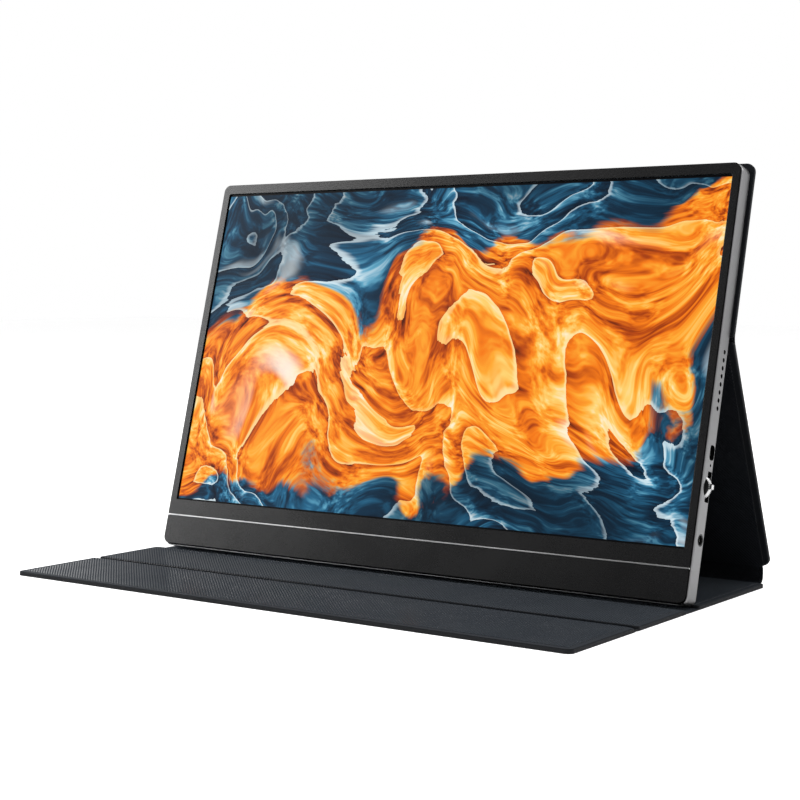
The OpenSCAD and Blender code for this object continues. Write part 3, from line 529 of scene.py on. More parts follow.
def makeLitScreen():
    tree, shader = newFinish("litScreen", Base_Color=(0.003, 0.003, 0.004), Coat_Weight=0.0, IOR=1.45,
                             Specular_IOR_Level=0.08, Emission_Strength=1.0)
    shift = Vector((0, 0, seat))
    shift.rotate(Matrix.Rotation(lean, 4, "X"))
    place = objectPlace(tree, turn=(lean, 0, 0), shift=-shift)
    split = splitUp(place)
    flat = add(tree, "ShaderNodeCombineXYZ", {"X": split["X"], "Y": split["Z"]}).outputs[0]
    up = calc("ABSOLUTE", calc("SUBTRACT", split["Z"], picture["middle"]))
    inside = calc("MINIMUM", calc("SUBTRACT", picture["right"], split["X"]),
                  calc("SUBTRACT", split["X"], picture["left"]))
    inside = calc("MINIMUM", inside, calc("SUBTRACT", picture["halfHigh"], up))
    lit = grade(inside, 0.0, picture["edge"])

    # slow bends that carry every layer along the same currents
    broad = bent(flat, 6.0, 0.2, 1.0, 0.45)
    flow = bent(broad, 15.0, 0.075, 2.0, 0.45)

    def drawnOut(squeeze, scale, detail, roughness=0.5):
        inputs = {"Vector": flow, "Rotation": (0, 0, picture["slant"]), "Scale": (squeeze, 1.0, 1.0)}
        return noiseOf(add(tree, "ShaderNodeMapping", inputs, vector_type="POINT").outputs[0], scale,
                       detail, roughness)

    strands = drawnOut(0.1, 150.0, 3.0, 0.55)
    threads = times(grade(drawnOut(0.05, 420.0, 2.0), 0.3, 0.7), 0.16)
    layers = times(drawnOut(0.6, 13.0, 1.5, 0.4), 8.0)
    layers = calc("FRACT", timesPlus(strands, 0.25, layers))
    body = timesPlus(grade(strands, 0.3, 0.7), 0.42, timesPlus(layers, 0.42, threads))
    warm = ramp(body,
                [(0.06, (0.09, 0.012, 0.002)), (0.22, (0.45, 0.06, 0.003)), (0.42, (0.93, 0.2, 0.006)),
                 (0.6, (1.0, 0.4, 0.03)), (0.78, (1.0, 0.66, 0.17)), (0.96, (1.0, 0.92, 0.72))])
    cool = ramp(body,
                [(0.1, (0.002, 0.008, 0.02)), (0.38, (0.005, 0.035, 0.075)), (0.6, (0.018, 0.13, 0.25)),
                 (0.78, (0.12, 0.4, 0.58)), (0.97, (0.72, 0.88, 0.94))])

    # where the two families meet
    split = splitUp(flow)
    band = timesPlus(split["X"], -0.3, split["Y"])
    band = calc("ABSOLUTE", calc("SUBTRACT", band, picture["middle"] - 0.006))
    share = timesPlus(noiseOf(broad, 16.0, 2.0), 0.11, band)
    coolShare = grade(timesPlus(strands, 0.02, share), 0.112, 0.12)
    shade = grade(noiseOf(broad, 8.0, 1.0), 0.38, 0.58, 0.3, 1.0)
    cool = mixColours(shade, (0.003, 0.014, 0.028), cool)
    colour = mixColours(coolShare, warm, cool)

    # bright rims along the layers, and soft shine
    edge = grade(layers, 0.9, 0.97)
    colour = mixColours(times(edge, times(shade, 0.7)), colour,
                        mixColours(coolShare, (1.0, 0.8, 0.4), (0.8, 0.92, 0.96)))
    shine = times(grade(drawnOut(0.5, 34.0, 1.0), 0.6, 0.74), grade(layers, 0.3, 0.8))
    colour = mixColours(times(shine, times(shade, 0.85)), colour,
                        mixColours(coolShare, (1.0, 0.94, 0.82), (0.86, 0.95, 0.98)))
    direct = add(tree, "ShaderNodeLightPath").outputs["Is Camera Ray"]
    glow = times(lit, grade(direct, 0.0, 1.0, 0.2, 1.0, kind="LINEAR"))
    join(mixColours(glow, (0.0, 0.0, 0.0), colour), shader["Emission Color"])
    grain = useGroup(fineGrain, place, Size=5000.0)
    join(grade(grain["Tone"], 0.3, 0.7, 0.3, 0.4), shader["Roughness"])
    join(raised(grain["Height"], 0.000003), shader["Normal"])


makeLitScreen()


def makeLeather():
    tree, shader = newFinish("leather", Specular_IOR_Level=0.16)
    grain = useGroup(leatherGrain, flatPlace(tree), Size=1500.0)
    worn = useGroup(edgeWear, objectPlace(tree), Width=0.0006)["Mask"]
    film = useGroup(softDust, objectPlace(tree), Amount=0.12)["Mask"]
    colour = mixColours(grade(grain["Tone"], 0.2, 0.8), (0.0085, 0.0092, 0.0112), (0.0125, 0.0135, 0.0162))
    colour = mixColours(times(worn, 0.6), colour, (0.02, 0.021, 0.024))
    join(mixColours(film, colour, (0.06, 0.06, 0.062)), shader["Base Color"])
    join(timesPlus(film, 0.3, grade(grain["Tone"], 0.2, 0.8, 0.62, 0.5)), shader["Roughness"])
    join(raised(grain["Height"], 0.00006), shader["Normal"])


def makeLining():  # the ribs' crowns are glazed, the grooves between them are dull
    tree, shader = newFinish("lining", IOR=1.0, Coat_Roughness=0.2, **bloom)
    ribs = useGroup(twillRibs, flatPlace(tree), Pitch=0.0014)
    film = useGroup(softDust, objectPlace(tree), Amount=0.15)["Mask"]
    colour = mixColours(ribs["Tone"], (0.0075, 0.0084, 0.0104), (0.0085, 0.0096, 0.0118))
    join(mixColours(film, colour, (0.07, 0.071, 0.074)), shader["Base Color"])
    join(grade(ribs["Tone"], 0.0, 1.0, 0.6, 0.5), shader["Roughness"])
    join(grade(ribs["Tone"], 0.2, 0.85, 0.0, 0.9), shader["Coat Weight"])
    join(raised(ribs["Height"], 0.00005), shader["Normal"])


makeLeather()
makeLining()

# the record's slots and the finish that each one stands for
slotFinish = {"shell_aluminium": "shellAluminium", "bezel_plastic": "bezelPlastic", "trim_metal": "trimMetal",
              "screen_film": "litScreen", "panel_glass": "panelGlass", "optical_film": "opticalFilm",
              "steel_sheet": "steelSheet", "circuit_board": "boardMask", "chip_plastic": "chipPlastic",
              "cable_film": "cableFilm", "foam": "blackFoam", "socket_metal": "nickel",
              "socket_plastic": "controlPlastic", "screw_steel": "screwSteel", "magnet_metal": "magnetMetal",
              "light_pipe": "lightPipe", "knurled_metal": "wheelMetal", "outer_skin": "leather",
              "inner_lining": "lining", "fibre_board": "fibreBoard"}


def dressNodes():
    for piece in frame["record"]["subparts"]:
        mesh = frame["nodes"][piece["node"]].data
        mesh.materials.clear()
        mesh.materials.append(finishes[slotFinish[piece["material_slot"]]])


dressNodes()
print("finishes made", len(finishes))

# monitor case

caseLow, caseHigh = spanOf("rear_shell", monitorPlace)
case = {"frontTurn": 52,
        **inMm(corner=4.6, backEdge=0.4, wall=0.7, frontEdge=2.3, groove=0.9, holeEdge=0.14, cutter=3)}
sidePorts = {"jack": (34, 7.7), "jog": (61, 8.4), "light": (72.3, 8.4), "usbRight": (79.3, 7.6),
             "usbLeft": (62, 7.6), "video": (44, 7.6), "power": (82, 7.7)}  # height and depth, mm
roundShare = 0.4985  # of a slot's width, so that its round ends don't quite meet


def portPlace(name, side):
    up, depth = sidePorts[name]
    return Vector((side * caseHigh.x, depth * mm, up * mm))


def fit(name, bm, coats, node, body="monitor", sharpAngle=32):  # a piece of the monitor
    piece = makeMesh(name, bm, coats, monitorPlace, sharpAngle)
    carry(piece, body, [node])
    return piece


def addBar(bm, low, high, radius, steps=6):  # a box with rounded edges along x
    own = set(addBox(bm, low, high))
    edges = [edge for edge in edgesAlong(bm, 0) if set(edge.verts) <= own]
    roundOff(bm, edges, radius, steps)


def addKey(bm, ends, centre, halfThick, halfHigh, radius):  # a bar between two places along x
    addBar(bm, (min(ends), centre.y - halfThick, centre.z - halfHigh),
           (max(ends), centre.y + halfThick, centre.z + halfHigh), radius, steps=8)


def addRing(bm, profile, centre, axis=1, steps=48):  # a closed outline turned about x or y
    shaft = Vector((axis == 0, axis == 1, 0))
    verts = [bm.verts.new(centre + Vector((0, 0, radius)) + shaft * along) for radius, along in profile]
    edges = [bm.edges.new((verts[index - 1], verts[index])) for index in range(len(verts))]
    bmesh.ops.spin(bm, geom=verts + edges, cent=centre, axis=shaft, angle=2 * math.pi, steps=steps,
                   use_merge=True)
    bmesh.ops.remove_doubles(bm, verts=bm.verts, dist=1e-7)


def depthInCase(point):
    across = abs(point.x) - caseHigh.x + case["corner"]
    up = abs(point.z - caseHigh.z / 2) - caseHigh.z / 2 + case["corner"]
    outward = math.hypot(across, up) if across > 0 and up > 0 else max(across, up)
    return min(case["corner"] - outward, caseHigh.y - point.y)


usbMouth = inMm(front=5.7, back=10.95, low=74.9, high=82.7, corner=1.9)
jogSlot = inMm(front=6.6, back=10.95, low=53.4, high=69.2, corner=0.5)
jogScoop = inMm(radius=6.2, behind=1.5)
leftSlots = {"usbLeft": (9.2 * mm, 3.5 * mm), "video": (11.5 * mm, 3.5 * mm), "power": (11.3 * mm, 2.9 * mm)}
speakerHoles = {"count": 8, **inMm(up=101.7, pitch=4.2, radius=1.2, depth=8)}


def cutSlot(bm, slot):  # through the right wall
    low = Vector((caseHigh.x - case["cutter"], slot["front"], slot["low"]))
    high = Vector((caseHigh.x + case["cutter"], slot["back"], slot["high"]))
    addBar(bm, low, high, slot["corner"])


def cutHole(bm, centre, radius, steps):
    reach = Vector((case["cutter"], 0, 0))
    addRod(bm, centre - reach, centre + reach, radius, steps)


def cutCase(bm):
    knives = bmesh.new()
    for side in (-1, 1):
        for index in range(speakerHoles["count"]):
            up = speakerHoles["up"] + index * speakerHoles["pitch"]
            centre = Vector((side * caseHigh.x, speakerHoles["depth"], up))
            cutHole(knives, centre, speakerHoles["radius"], 20)
    cutSlot(knives, usbMouth)
    for name, (length, width) in leftSlots.items():
        half = Vector((case["cutter"], width / 2, length / 2))
        addBar(knives, portPlace(name, -1) - half, portPlace(name, -1) + half, width * roundShare)
    cutSlot(knives, jogSlot)
    for name, radius in (("light", 0.75 * mm), ("jack", 3.175 * mm)):
        cutHole(knives, portPlace(name, 1), radius, 40)
    bm = carve(bm, knives)
    scoop = bmesh.new()
    centre = portPlace("jog", 1)
    cutHole(scoop, centre + Vector((0, jogScoop["behind"], 0)), jogScoop["radius"], 64)
    cut = sliceAt(scoop, 1, centre.y, clear_outer=True)
    bmesh.ops.contextual_create(scoop, geom=[item for item in cut if isinstance(item, bmesh.types.BMEdge)])
    return carve(bm, scoop)


# the lip under the chin, the rims of the holes, and where the painted shade inside the case and on the cut
# edges and the painted highlight on the back of the USB mouth start and end
shell = inMm(lipLow=0.03, lipHigh=0.38, lipFront=0.05, lipEdge=0.08, holeFront=3, holeBack=10.4,
             insideDepth=0.52, insideFront=2, cutDepth=0.16, cutFront=3.5, cutBack=11, cutLow=20,
             cutHigh=140, linerFront=10.6, linerLow=75, linerHigh=84, near=0.1)


def makeRearShell():
    bm = bmesh.new()
    rim = caseLow.y + case["groove"]
    front = rim - case["frontEdge"] * (1 - math.cos(math.radians(case["frontTurn"])))
    addBox(bm, (caseLow.x, front, caseLow.z), caseHigh)
    roundOff(bm, edgesAlong(bm, 1), case["corner"], 8)
    roundOff(bm, edgesAt(bm, 1, front), case["frontEdge"], 12)
    sliceAt(bm, 1, rim, clear_inner=True)
    thicken(bm, 1, case["wall"])
    roundOff(bm, edgesAt(bm, 1, caseHigh.y), case["backEdge"], 4)
    bm = cutCase(bm)
    strip = bmesh.new()
    end = caseHigh.x - case["corner"]
    addBox(strip, (-end, caseLow.y + shell["lipFront"], shell["lipLow"]), (end, rim + mm, shell["lipHigh"]))
    roundOff(strip, edgesAlong(strip, 0), shell["lipEdge"], 2)
    absorb(bm, strip)
    for side in (-1, 1):
        rims = edgesAt(bm, 0, side * caseHigh.x,
                       lambda middle: shell["holeFront"] < middle.y < shell["holeBack"])
        roundOff(bm, rims, case["holeEdge"], 2)
    # painted shade: the faces deep inside the case are dark grey
    paint(bm, 1, lambda middle, normal: depthInCase(middle) > shell["insideDepth"]
          and middle.y > rim + shell["insideFront"])
    # painted shade: the rim's front face beside the face plate is near-black, standing in for the shadow in the
    # gap
    paint(bm, 3, lambda middle, normal: normal.y < -0.98 and abs(middle.y - rim) < shell["near"])
    paint(bm, 0, lambda middle, normal: middle.y < rim - shell["near"])
    # painted shade: the walls of the side holes and slots are near-black
    paint(bm, 3, lambda middle, normal: abs(normal.x) < 0.3 and depthInCase(middle) > shell["cutDepth"]
          and shell["cutFront"] < middle.y < shell["cutBack"]
          and shell["cutLow"] < middle.z < shell["cutHigh"])
    # painted highlight: the far wall of the USB mouth is near-white
    paint(bm, 2, lambda middle, normal: normal.y < -0.9 and middle.x > caseHigh.x - case["wall"]
          and middle.y > shell["linerFront"] and shell["linerLow"] < middle.z < shell["linerHigh"])
    piece = fit("rearShell", bm, ["shellAluminium", "shellInsideShade", "usbMouthHighlight", "paintedSeamShade"], "rear_shell")
    print("rear shell", [round(side * 1000, 2) for side in piece.dimensions])


face = inMm(inset=0.3, corner=4.3, thick=0.7, edge=0.22, foot=1.1, skirtIn=1.5, skirtCorner=3.1, skirt=4.0,
            skirtWall=0.8, seam=0.01, ledgeIn=0.9, ledge=1.9, lip=0.5)
window = inMm(left=-171.8, right=172.5, low=28.4, high=224.2, corner=1.6, edge=0.15, near=0.3,
              filmCorner=1.5)
trim = {"near": mm / 9, **inMm(seam=0.13, corner=0.35, edge=0.12, chinEdge=0.1)}
trimLow, trimHigh = spanOf("chin_trim_strip", monitorPlace)


def onWindow(middle):
    return (window["left"] - window["near"] < middle.x < window["right"] + window["near"]
            and window["low"] - window["near"] < middle.z < window["high"] + window["near"])


def makeFrontBezel():
    half = caseHigh.x - face["inset"]
    bm = bmesh.new()
    addBox(bm, (-half, 0, trimHigh.z), (half, face["thick"], caseHigh.z - face["inset"]))
    roundOff(bm, edgesAlong(bm, 1, lambda middle: middle.z > 0.1), face["corner"], 8)
    opening = bmesh.new()
    addBox(opening, (window["left"], -mm, window["low"]), (window["right"], 2 * mm, window["high"]))
    roundOff(opening, edgesAlong(opening, 1, lambda middle: middle.z > 0.1), window["corner"], 5)
    bm = carve(bm, opening)
    outline = edgesAt(bm, 1, 0, lambda middle: not onWindow(middle) and middle.z > trimHigh.z + trim["near"])
    roundOff(bm, outline, face["edge"], 4)
    roundOff(bm, edgesAt(bm, 1, 0, onWindow), window["edge"], 2)

    # the skirt inside the shell and the ledge under the screen
    half = caseHigh.x - face["skirtIn"]
    low, high = face["skirtIn"], caseHigh.z - face["skirtIn"]
    start = face["thick"] + face["seam"]
    skirt = bmesh.new()
    addBox(skirt, (-half, start, low), (half, face["skirt"], high))
    roundOff(skirt, edgesAlong(skirt, 1), face["skirtCorner"], 8)
    openAt(skirt, 1, start, face["skirt"])
    thicken(skirt, 0, face["skirtWall"])
    absorb(bm, skirt)
    addBox(bm, (-half + face["ledgeIn"], face["thick"], low + face["ledgeIn"]),
           (half - face["ledgeIn"], face["ledge"], trimHigh.z + face["lip"]))
    # painted shade: every bezel face that does not look forward, rounded edges and sides included, is near-black
    paint(bm, 1, lambda middle, normal: normal.y > -0.9)
    fit("frontBezel", bm, ["bezelPlastic", "paintedSeamShade"], "front_bezel")


def makeChin():
    half = caseHigh.x - face["inset"]
    level = trimLow.z - trim["near"]
    bm = bmesh.new()
    addBox(bm, (-half, 0, face["foot"]), (half, face["thick"], trimLow.z))
    roundOff(bm, edgesAlong(bm, 1, lambda middle: middle.z < 5 * mm), face["corner"], 8)
    roundOff(bm, edgesAt(bm, 1, 0, lambda middle: middle.z < level), face["edge"], 4)
    roundOff(bm, edgesAt(bm, 1, 0, lambda middle: middle.z > level), trim["chinEdge"], 2)
    # painted shade: every chin face that does not look forward, rounded edges and sides included, is near-black
    paint(bm, 1, lambda middle, normal: normal.y > -0.9)
    fit("chinPlate", bm, ["bezelPlastic", "paintedSeamShade"], "chin_plate")

    seam = Vector((0, 0, trim["seam"]))
    bm = bmesh.new()
    addBox(bm, trimLow + seam, trimHigh - seam)
    roundOff(bm, edgesAlong(bm, 2), trim["corner"], 4)
    roundOff(bm, edgesAt(bm, 2, trimLow.z + seam.z) + edgesAt(bm, 2, trimHigh.z - seam.z), trim["edge"], 3)
    fit("chinTrimStrip", bm, ["trimMetal"], "chin_trim_strip")


def makeScreen():
    bm = bmesh.new()
    addBox(bm, *spanOf("antiglare_film", monitorPlace))
    roundOff(bm, edgesAlong(bm, 1, lambda middle: middle.z > 0.1), window["filmCorner"], 5)
    fit("screenFilm", bm, ["litScreen"], "antiglare_film")


# ports and controls

wheel = {"teeth": 44,
         **inMm(sunk=4.7, radius=6.5, front=6.9, thick=3, band=0.8, edge=0.3, innerEdge=0.12, innerSlope=0.15,
                tooth=0.28, toothed=0.35, tabLow=-0.9, tabHigh=1.7, tabOut=0.9, tabRoot=0.6, tabSide=0.1,
                tabEdge=0.25, notch=0.5, notchIn=1.2)}
hub = inMm(bore=1.25, dish=0.3, dishRadius=3.4, face=0.02, faceRadius=4, gap=0.02, edge=0.12,
           edgeDepth=0.14, rim=1, rimDepth=0.4)


def makeJogWheel():
    centre = Vector((caseHigh.x - wheel["sunk"], 0, sidePorts["jog"][0] * mm))
    front, back = wheel["front"], wheel["front"] + wheel["thick"]
    outer, inner = wheel["radius"], wheel["radius"] - wheel["band"]
    edge = wheel["edge"]
    bm = bmesh.new()
    addRing(bm, [(inner, front + wheel["innerEdge"]), (inner + wheel["innerSlope"], front),
                 (outer - edge, front), (outer, front + edge), (outer, back - edge), (outer - edge, back),
                 (inner, back)], centre, steps=wheel["teeth"] * 4)
    for vertex in bm.verts:
        arm = vertex.co - centre
        if math.hypot(arm.x, arm.z) > outer - wheel["toothed"]:
            turn = round(math.atan2(arm.x, arm.z) / (2 * math.pi) * wheel["teeth"] * 4) % 4
            if turn >= 2:
                vertex.co -= Vector((arm.x, 0, arm.z)).normalized() * wheel["tooth"]
    notch = bmesh.new()
    corner = centre + Vector((outer, 0, wheel["tabHigh"]))
    addBox(notch, corner + Vector((-wheel["notchIn"], front - mm, 0)),
           corner + Vector((mm, back + mm, wheel["notch"])))
    bm = carve(bm, notch)
    low = centre + Vector((outer - wheel["tabRoot"], front + wheel["tabSide"], wheel["tabLow"]))
    high = centre + Vector((outer + wheel["tabOut"], back - wheel["tabSide"], wheel["tabHigh"]))
    made = set(addBox(bm, low, high))
    tabEnd = edgesAt(bm, 0, centre.x + outer + wheel["tabOut"])
    ends = [side for side in tabEnd if set(side.verts) <= made]
    roundOff(bm, ends, wheel["tabEdge"], 3)
    fit("jogRim", bm, ["wheelMetal"], "jog_rim", "jog_wheel", sharpAngle=25)

    bm = bmesh.new()
    side, rim = inner - hub["gap"], inner - hub["rim"]
    addRing(bm, [(hub["bore"], front + hub["dish"]), (hub["dishRadius"], front + hub["dish"]),
                 (hub["faceRadius"], front + hub["face"]), (inner - hub["edge"], front + hub["face"]),
                 (side, front + hub["edgeDepth"]), (side, back - hub["gap"]), (rim, back - hub["gap"]),
                 (rim, back - hub["rimDepth"]), (hub["bore"], back - hub["rimDepth"])], centre, steps=64)
    fit("jogHub", bm, ["controlPlastic"], "jog_hub", "jog_wheel")


jack = inMm(deep=12.5, gap=0.1, halfThick=2.4, halfHigh=3.1, corner=0.4, bore=1.8, collar=3.1,
            collarFoot=0.15, darkTo=2.45, near=0.01, contactFrom=-2.2, contactTo=-1.1)


def makeJack():
    centre = portPlace("jack", 1)
    wall = caseHigh.x - case["wall"]
    low = Vector((wall - jack["deep"], centre.y - jack["halfThick"], centre.z - jack["halfHigh"]))
    high = Vector((wall - jack["gap"], centre.y + jack["halfThick"], centre.z + jack["halfHigh"]))
    bm = bmesh.new()
    addBox(bm, low, high)
    roundOff(bm, edgesAlong(bm, 0), jack["corner"], 2)
    bore = bmesh.new()
    addRod(bore, Vector((low.x + mm, centre.y, centre.z)), centre + Vector((case["cutter"], 0, 0)),
           jack["bore"], 48)
    bm = carve(bm, bore)
    start = wall - jack["collarFoot"] - centre.x
    addRing(bm, [(jack["bore"], start), (jack["collar"], start), (jack["collar"], -0.32 * mm),
                 (2.95 * mm, -0.15 * mm), (2.5 * mm, -0.15 * mm), (2.3 * mm, -0.35 * mm),
                 (jack["bore"], -0.55 * mm)], centre, axis=0, steps=64)

    def fromAxis(middle):
        return math.hypot(middle.y - centre.y, middle.z - centre.z)

    # painted shade: the jack's mouth and bore are near-black
    paint(bm, 2, lambda middle, normal: fromAxis(middle) < jack["darkTo"])
    addRing(bm, [(1.62 * mm, jack["contactFrom"]), (1.795 * mm, jack["contactFrom"]),
                 (1.795 * mm, jack["contactTo"]), (1.68 * mm, jack["contactTo"])], centre, axis=0, steps=48)
    paint(bm, 1, lambda middle, normal: fromAxis(middle) < jack["bore"] + jack["near"]
          and centre.x - 2.3 * mm < middle.x < centre.x - 1.05 * mm)
    fit("audioJack", bm, ["controlPlastic", "nickel", "paintedSeamShade"], "audio_jack")


sockets = inMm(deep=7.4, thick=3.2, wall=0.3, drop=1.5, edge=0.08)
tongue = {"pads": 12,
          **inMm(halfHigh=3.35, halfThick=0.35, drop=0.9, edge=0.12, padPitch=0.5, padDrop=0.5, padHalf=0.13,
                 padProud=0.02, padEdge=0.012)}


def makeSocket(name, node, side, length):
    centre = portPlace(name, side)
    mouth = centre.x - side * sockets["drop"]
    bm = bmesh.new()
    addKey(bm, (mouth, mouth - side * sockets["deep"]), centre, sockets["thick"] / 2, length / 2,
           sockets["thick"] * roundShare)
    openAt(bm, 0, mouth)
    thicken(bm, 2, sockets["wall"])
    roundOff(bm, edgesAt(bm, 0, mouth, sharpest=1.2), sockets["edge"], 2)
    fit(name + "Socket", bm, ["nickel"], node)


def makeTongues():
    bm = bmesh.new()
    for name, side in (("usbRight", 1), ("usbLeft", -1)):
        centre = portPlace(name, side)
        root = centre.x - side * (sockets["drop"] + sockets["deep"] - sockets["wall"])
        tip = centre.x - side * (sockets["drop"] + tongue["drop"])
        half = Vector((0, tongue["halfThick"], tongue["halfHigh"]))
        core = bmesh.new()
        addBox(core, Vector((min(root, tip), centre.y, centre.z)) - half,
               Vector((max(root, tip), centre.y, centre.z)) + half)
        roundOff(core, edgesAt(core, 0, tip), tongue["edge"], 2)
        absorb(bm, core)
        padTip = tip - side * tongue["padDrop"]
        for index in range(tongue["pads"]):
            up = centre.z + (index - (tongue["pads"] - 1) / 2) * tongue["padPitch"]
            for flat in (-1, 1):
                level = centre.y + flat * tongue["halfThick"]
                pad = bmesh.new()
                addBox(pad, (min(root, padTip), level - tongue["padProud"], up - tongue["padHalf"]),
                       (max(root, padTip), level + tongue["padProud"], up + tongue["padHalf"]))
                roundOff(pad, edgesAlong(pad, 2), tongue["padEdge"], 1)
                paint(pad, 1, lambda middle, normal: True)
                absorb(bm, pad)
    fit("usbTongues", bm, ["controlPlastic", "goldContact"], "usb_tongues")


powerKey = inMm(halfThick=1.3, halfHigh=5.5, round=1.296, edge=0.25, inside=0.3, footThick=1.6,
                footHigh=6.5, footRound=1.59, footStart=0.1, footEnd=0.9)


def makePowerButton():
    low = spanOf("power_button", monitorPlace)[0].x
    centre = portPlace("power", -1)
    wall = -caseHigh.x + case["wall"]
    bm = bmesh.new()
    addKey(bm, (low, wall + powerKey["inside"]), centre, powerKey["halfThick"], powerKey["halfHigh"],
           powerKey["round"])
    roundOff(bm, edgesAt(bm, 0, low), powerKey["edge"], 3)
    foot = bmesh.new()
    addKey(foot, (wall + powerKey["footStart"], wall + powerKey["footEnd"]), centre, powerKey["footThick"],
           powerKey["footHigh"], powerKey["footRound"])
    absorb(bm, foot)
    fit("powerButton", bm, ["shellAluminium"], "power_button", "power_key")


pipe = inMm(radius=0.5, tipRadius=0.36, sunk=1, tipEdge=1.03, sideEdge=1.12, root=5, baseIn=6, baseOut=3.5,
            baseFront=6, baseBack=0.8, edge=0.15)


def makeLightPipe():
    centre = portPlace("light", 1)
    wall = caseHigh.x - case["wall"]
    root = wall - pipe["root"] - centre.x
    bm = bmesh.new()
    addRing(bm, [(0, root), (pipe["radius"], root), (pipe["radius"], -pipe["sideEdge"]),
                 (pipe["tipRadius"], -pipe["tipEdge"]), (0, -pipe["sunk"])], centre, axis=0, steps=32)
    base = bmesh.new()
    addBox(base, (wall - pipe["baseIn"], pipe["baseFront"], centre.z - mm),
           (wall - pipe["baseOut"], centre.y + pipe["baseBack"], centre.z + mm))
    roundOff(base, base.edges[:], pipe["edge"], 2)
    absorb(bm, base)
    fit("statusLight", bm, ["lightPipe"], "status_light_pipe")


makeRearShell()
makeFrontBezel()
makeChin()
makeScreen()
makeJogWheel()
makeJack()
makeSocket("usbRight", "usb_c_right", 1, 8.9 * mm)
makeSocket("usbLeft", "usb_c_left", -1, 8.9 * mm)
makeSocket("video", "video_socket", -1, 11.2 * mm)
makeTongues()
makePowerButton()
makeLightPipe()
print("monitor made")

# cover panels

cover = inMm(thick=2.35, edge=0.3, topEdge=0.6, corner=5, frontCorner=3.4, seamCorner=1.2, border=3.4,
             raised=0.12, slope=0.08, lip=0.8, lipEdge=0.25, lipStart=1.3, lipReach=5, fabric=0.7,
             fabricEdge=0.3)
coverCoats = ("leather", "lining", "hem")
coverHalf = spanOf("flap_skin", floorPlace)[1].x
liningHalf = coverHalf - cover["border"]


def splitAtLining(bm):
    for level in (-liningHalf, liningHalf):
        sliceAt(bm, 0, level)


def makePanel(name, part, place, body, freeLow=False, freeHigh=False, past=(0.6, 0.6), lip=False,
              along=0.0):
    skinLow, skinHigh = spanOf(part + "_skin", place)
    boardLow, boardHigh = spanOf(part + "_board", place)
    low = skinLow.y if freeLow else boardLow.y - past[0] * mm
    high = skinHigh.y if freeHigh else boardHigh.y + past[1] * mm
    top = cover["thick"]
    bm = bmesh.new()
    addBox(bm, (-coverHalf, low, 0), (coverHalf, high, top))
    for level, free, lipHere in ((low, freeLow, lip), (high, freeHigh, False)):
        corners = edgesAlong(bm, 2, lambda middle: abs(middle.y - level) < mm and abs(middle.x) > 0.1)
        corner = cover["corner"] if free or lipHere else cover["seamCorner"]
        roundOff(bm, corners, cover["frontCorner"] if part == "flap" and free else corner, 8)
    roundOff(bm, edgesAt(bm, 2, 0), cover["edge"], 4)
    roundOff(bm, edgesAt(bm, 2, top), cover["topEdge"], 5)
    bmesh.ops.remove_doubles(bm, verts=bm.verts, dist=1e-6)
    lowSide = low + cover["border"] if freeLow else low - mm
    highSide = high - cover["border"] if freeHigh else high + mm
    splitAtLining(bm)
    for level, free in ((lowSide, freeLow), (highSide, freeHigh)):
        if free:
            sliceAt(bm, 1, level)
    sliceAt(bm, 2, cover["lip"])
    bm.normal_update()
    sheet = [piece for piece in bm.faces if onLining(piece.calc_center_median(), lowSide, highSide)
             and (piece.normal.z > 0.2 or abs(piece.normal.y) > 0.3)]
    for piece in bm.faces:
        piece.material_index = 1 if piece in sheet else 2 if piece.normal.z > 0.2 else 0
    bmesh.ops.inset_region(bm, faces=sheet, thickness=cover["slope"], depth=cover["raised"],
                           use_even_offset=False, use_boundary=True)
    if lip:
        addLip(bm, skinLow.y + cover["lipStart"])
    layFlat(bm, along)
    panel = makeMesh(name, bm, coverCoats, place)
    carry(panel, body, [part + "_skin", part + "_lining"])


def onLining(middle, lowSide, highSide):
    return abs(middle.x) < liningHalf and lowSide < middle.y < highSide and middle.z > cover["lip"]


def addLip(bm, fold):  # the thin leather between the board and the fold
    strip = bmesh.new()
    addBox(strip, (-coverHalf, fold, 0), (coverHalf, fold + cover["lipReach"], cover["lip"]))
    corners = edgesAlong(strip, 2, lambda middle: abs(middle.y - fold) < mm)
    roundOff(strip, corners, cover["corner"] - 0.05 * mm, 8)
    for level in (0, cover["lip"]):
        roundOff(strip, edgesAt(strip, 2, level), cover["lipEdge"], 2)
    splitAtLining(strip)
    for piece in strip.faces:
        inner = abs(piece.calc_center_median().x) < liningHalf
        piece.material_index = 0 if piece.normal.z < 0.5 else 1 if inner else 2
    absorb(bm, strip)


# folds between the panels


def bentPath(curves):  # points along cubic curves, and how far along each of them lies
    path = []
    for start, handle, otherHandle, end in curves:
        path += interpolate_bezier(start, handle, otherHandle, end, 33)[1 if path else 0:]
    lengths = [0.0]
    for first, second in zip(path, path[1:]):
        lengths.append(lengths[-1] + (second - first).length)
    return path, lengths


def pointOn(path, lengths, reach):
    index = 1
    while index < len(path) - 1 and lengths[index] < reach:
        index += 1
    share = (reach - lengths[index - 1]) / (lengths[index] - lengths[index - 1])
    before = (path[index] - path[index - 1]).normalized()
    after = (path[index + 1] - path[index]).normalized() if index + 1 < len(path) else before
    along = before.lerp(after, max(0.0, min(1.0, share)))
    along.normalize()
    return path[index - 1].lerp(path[index], share), along


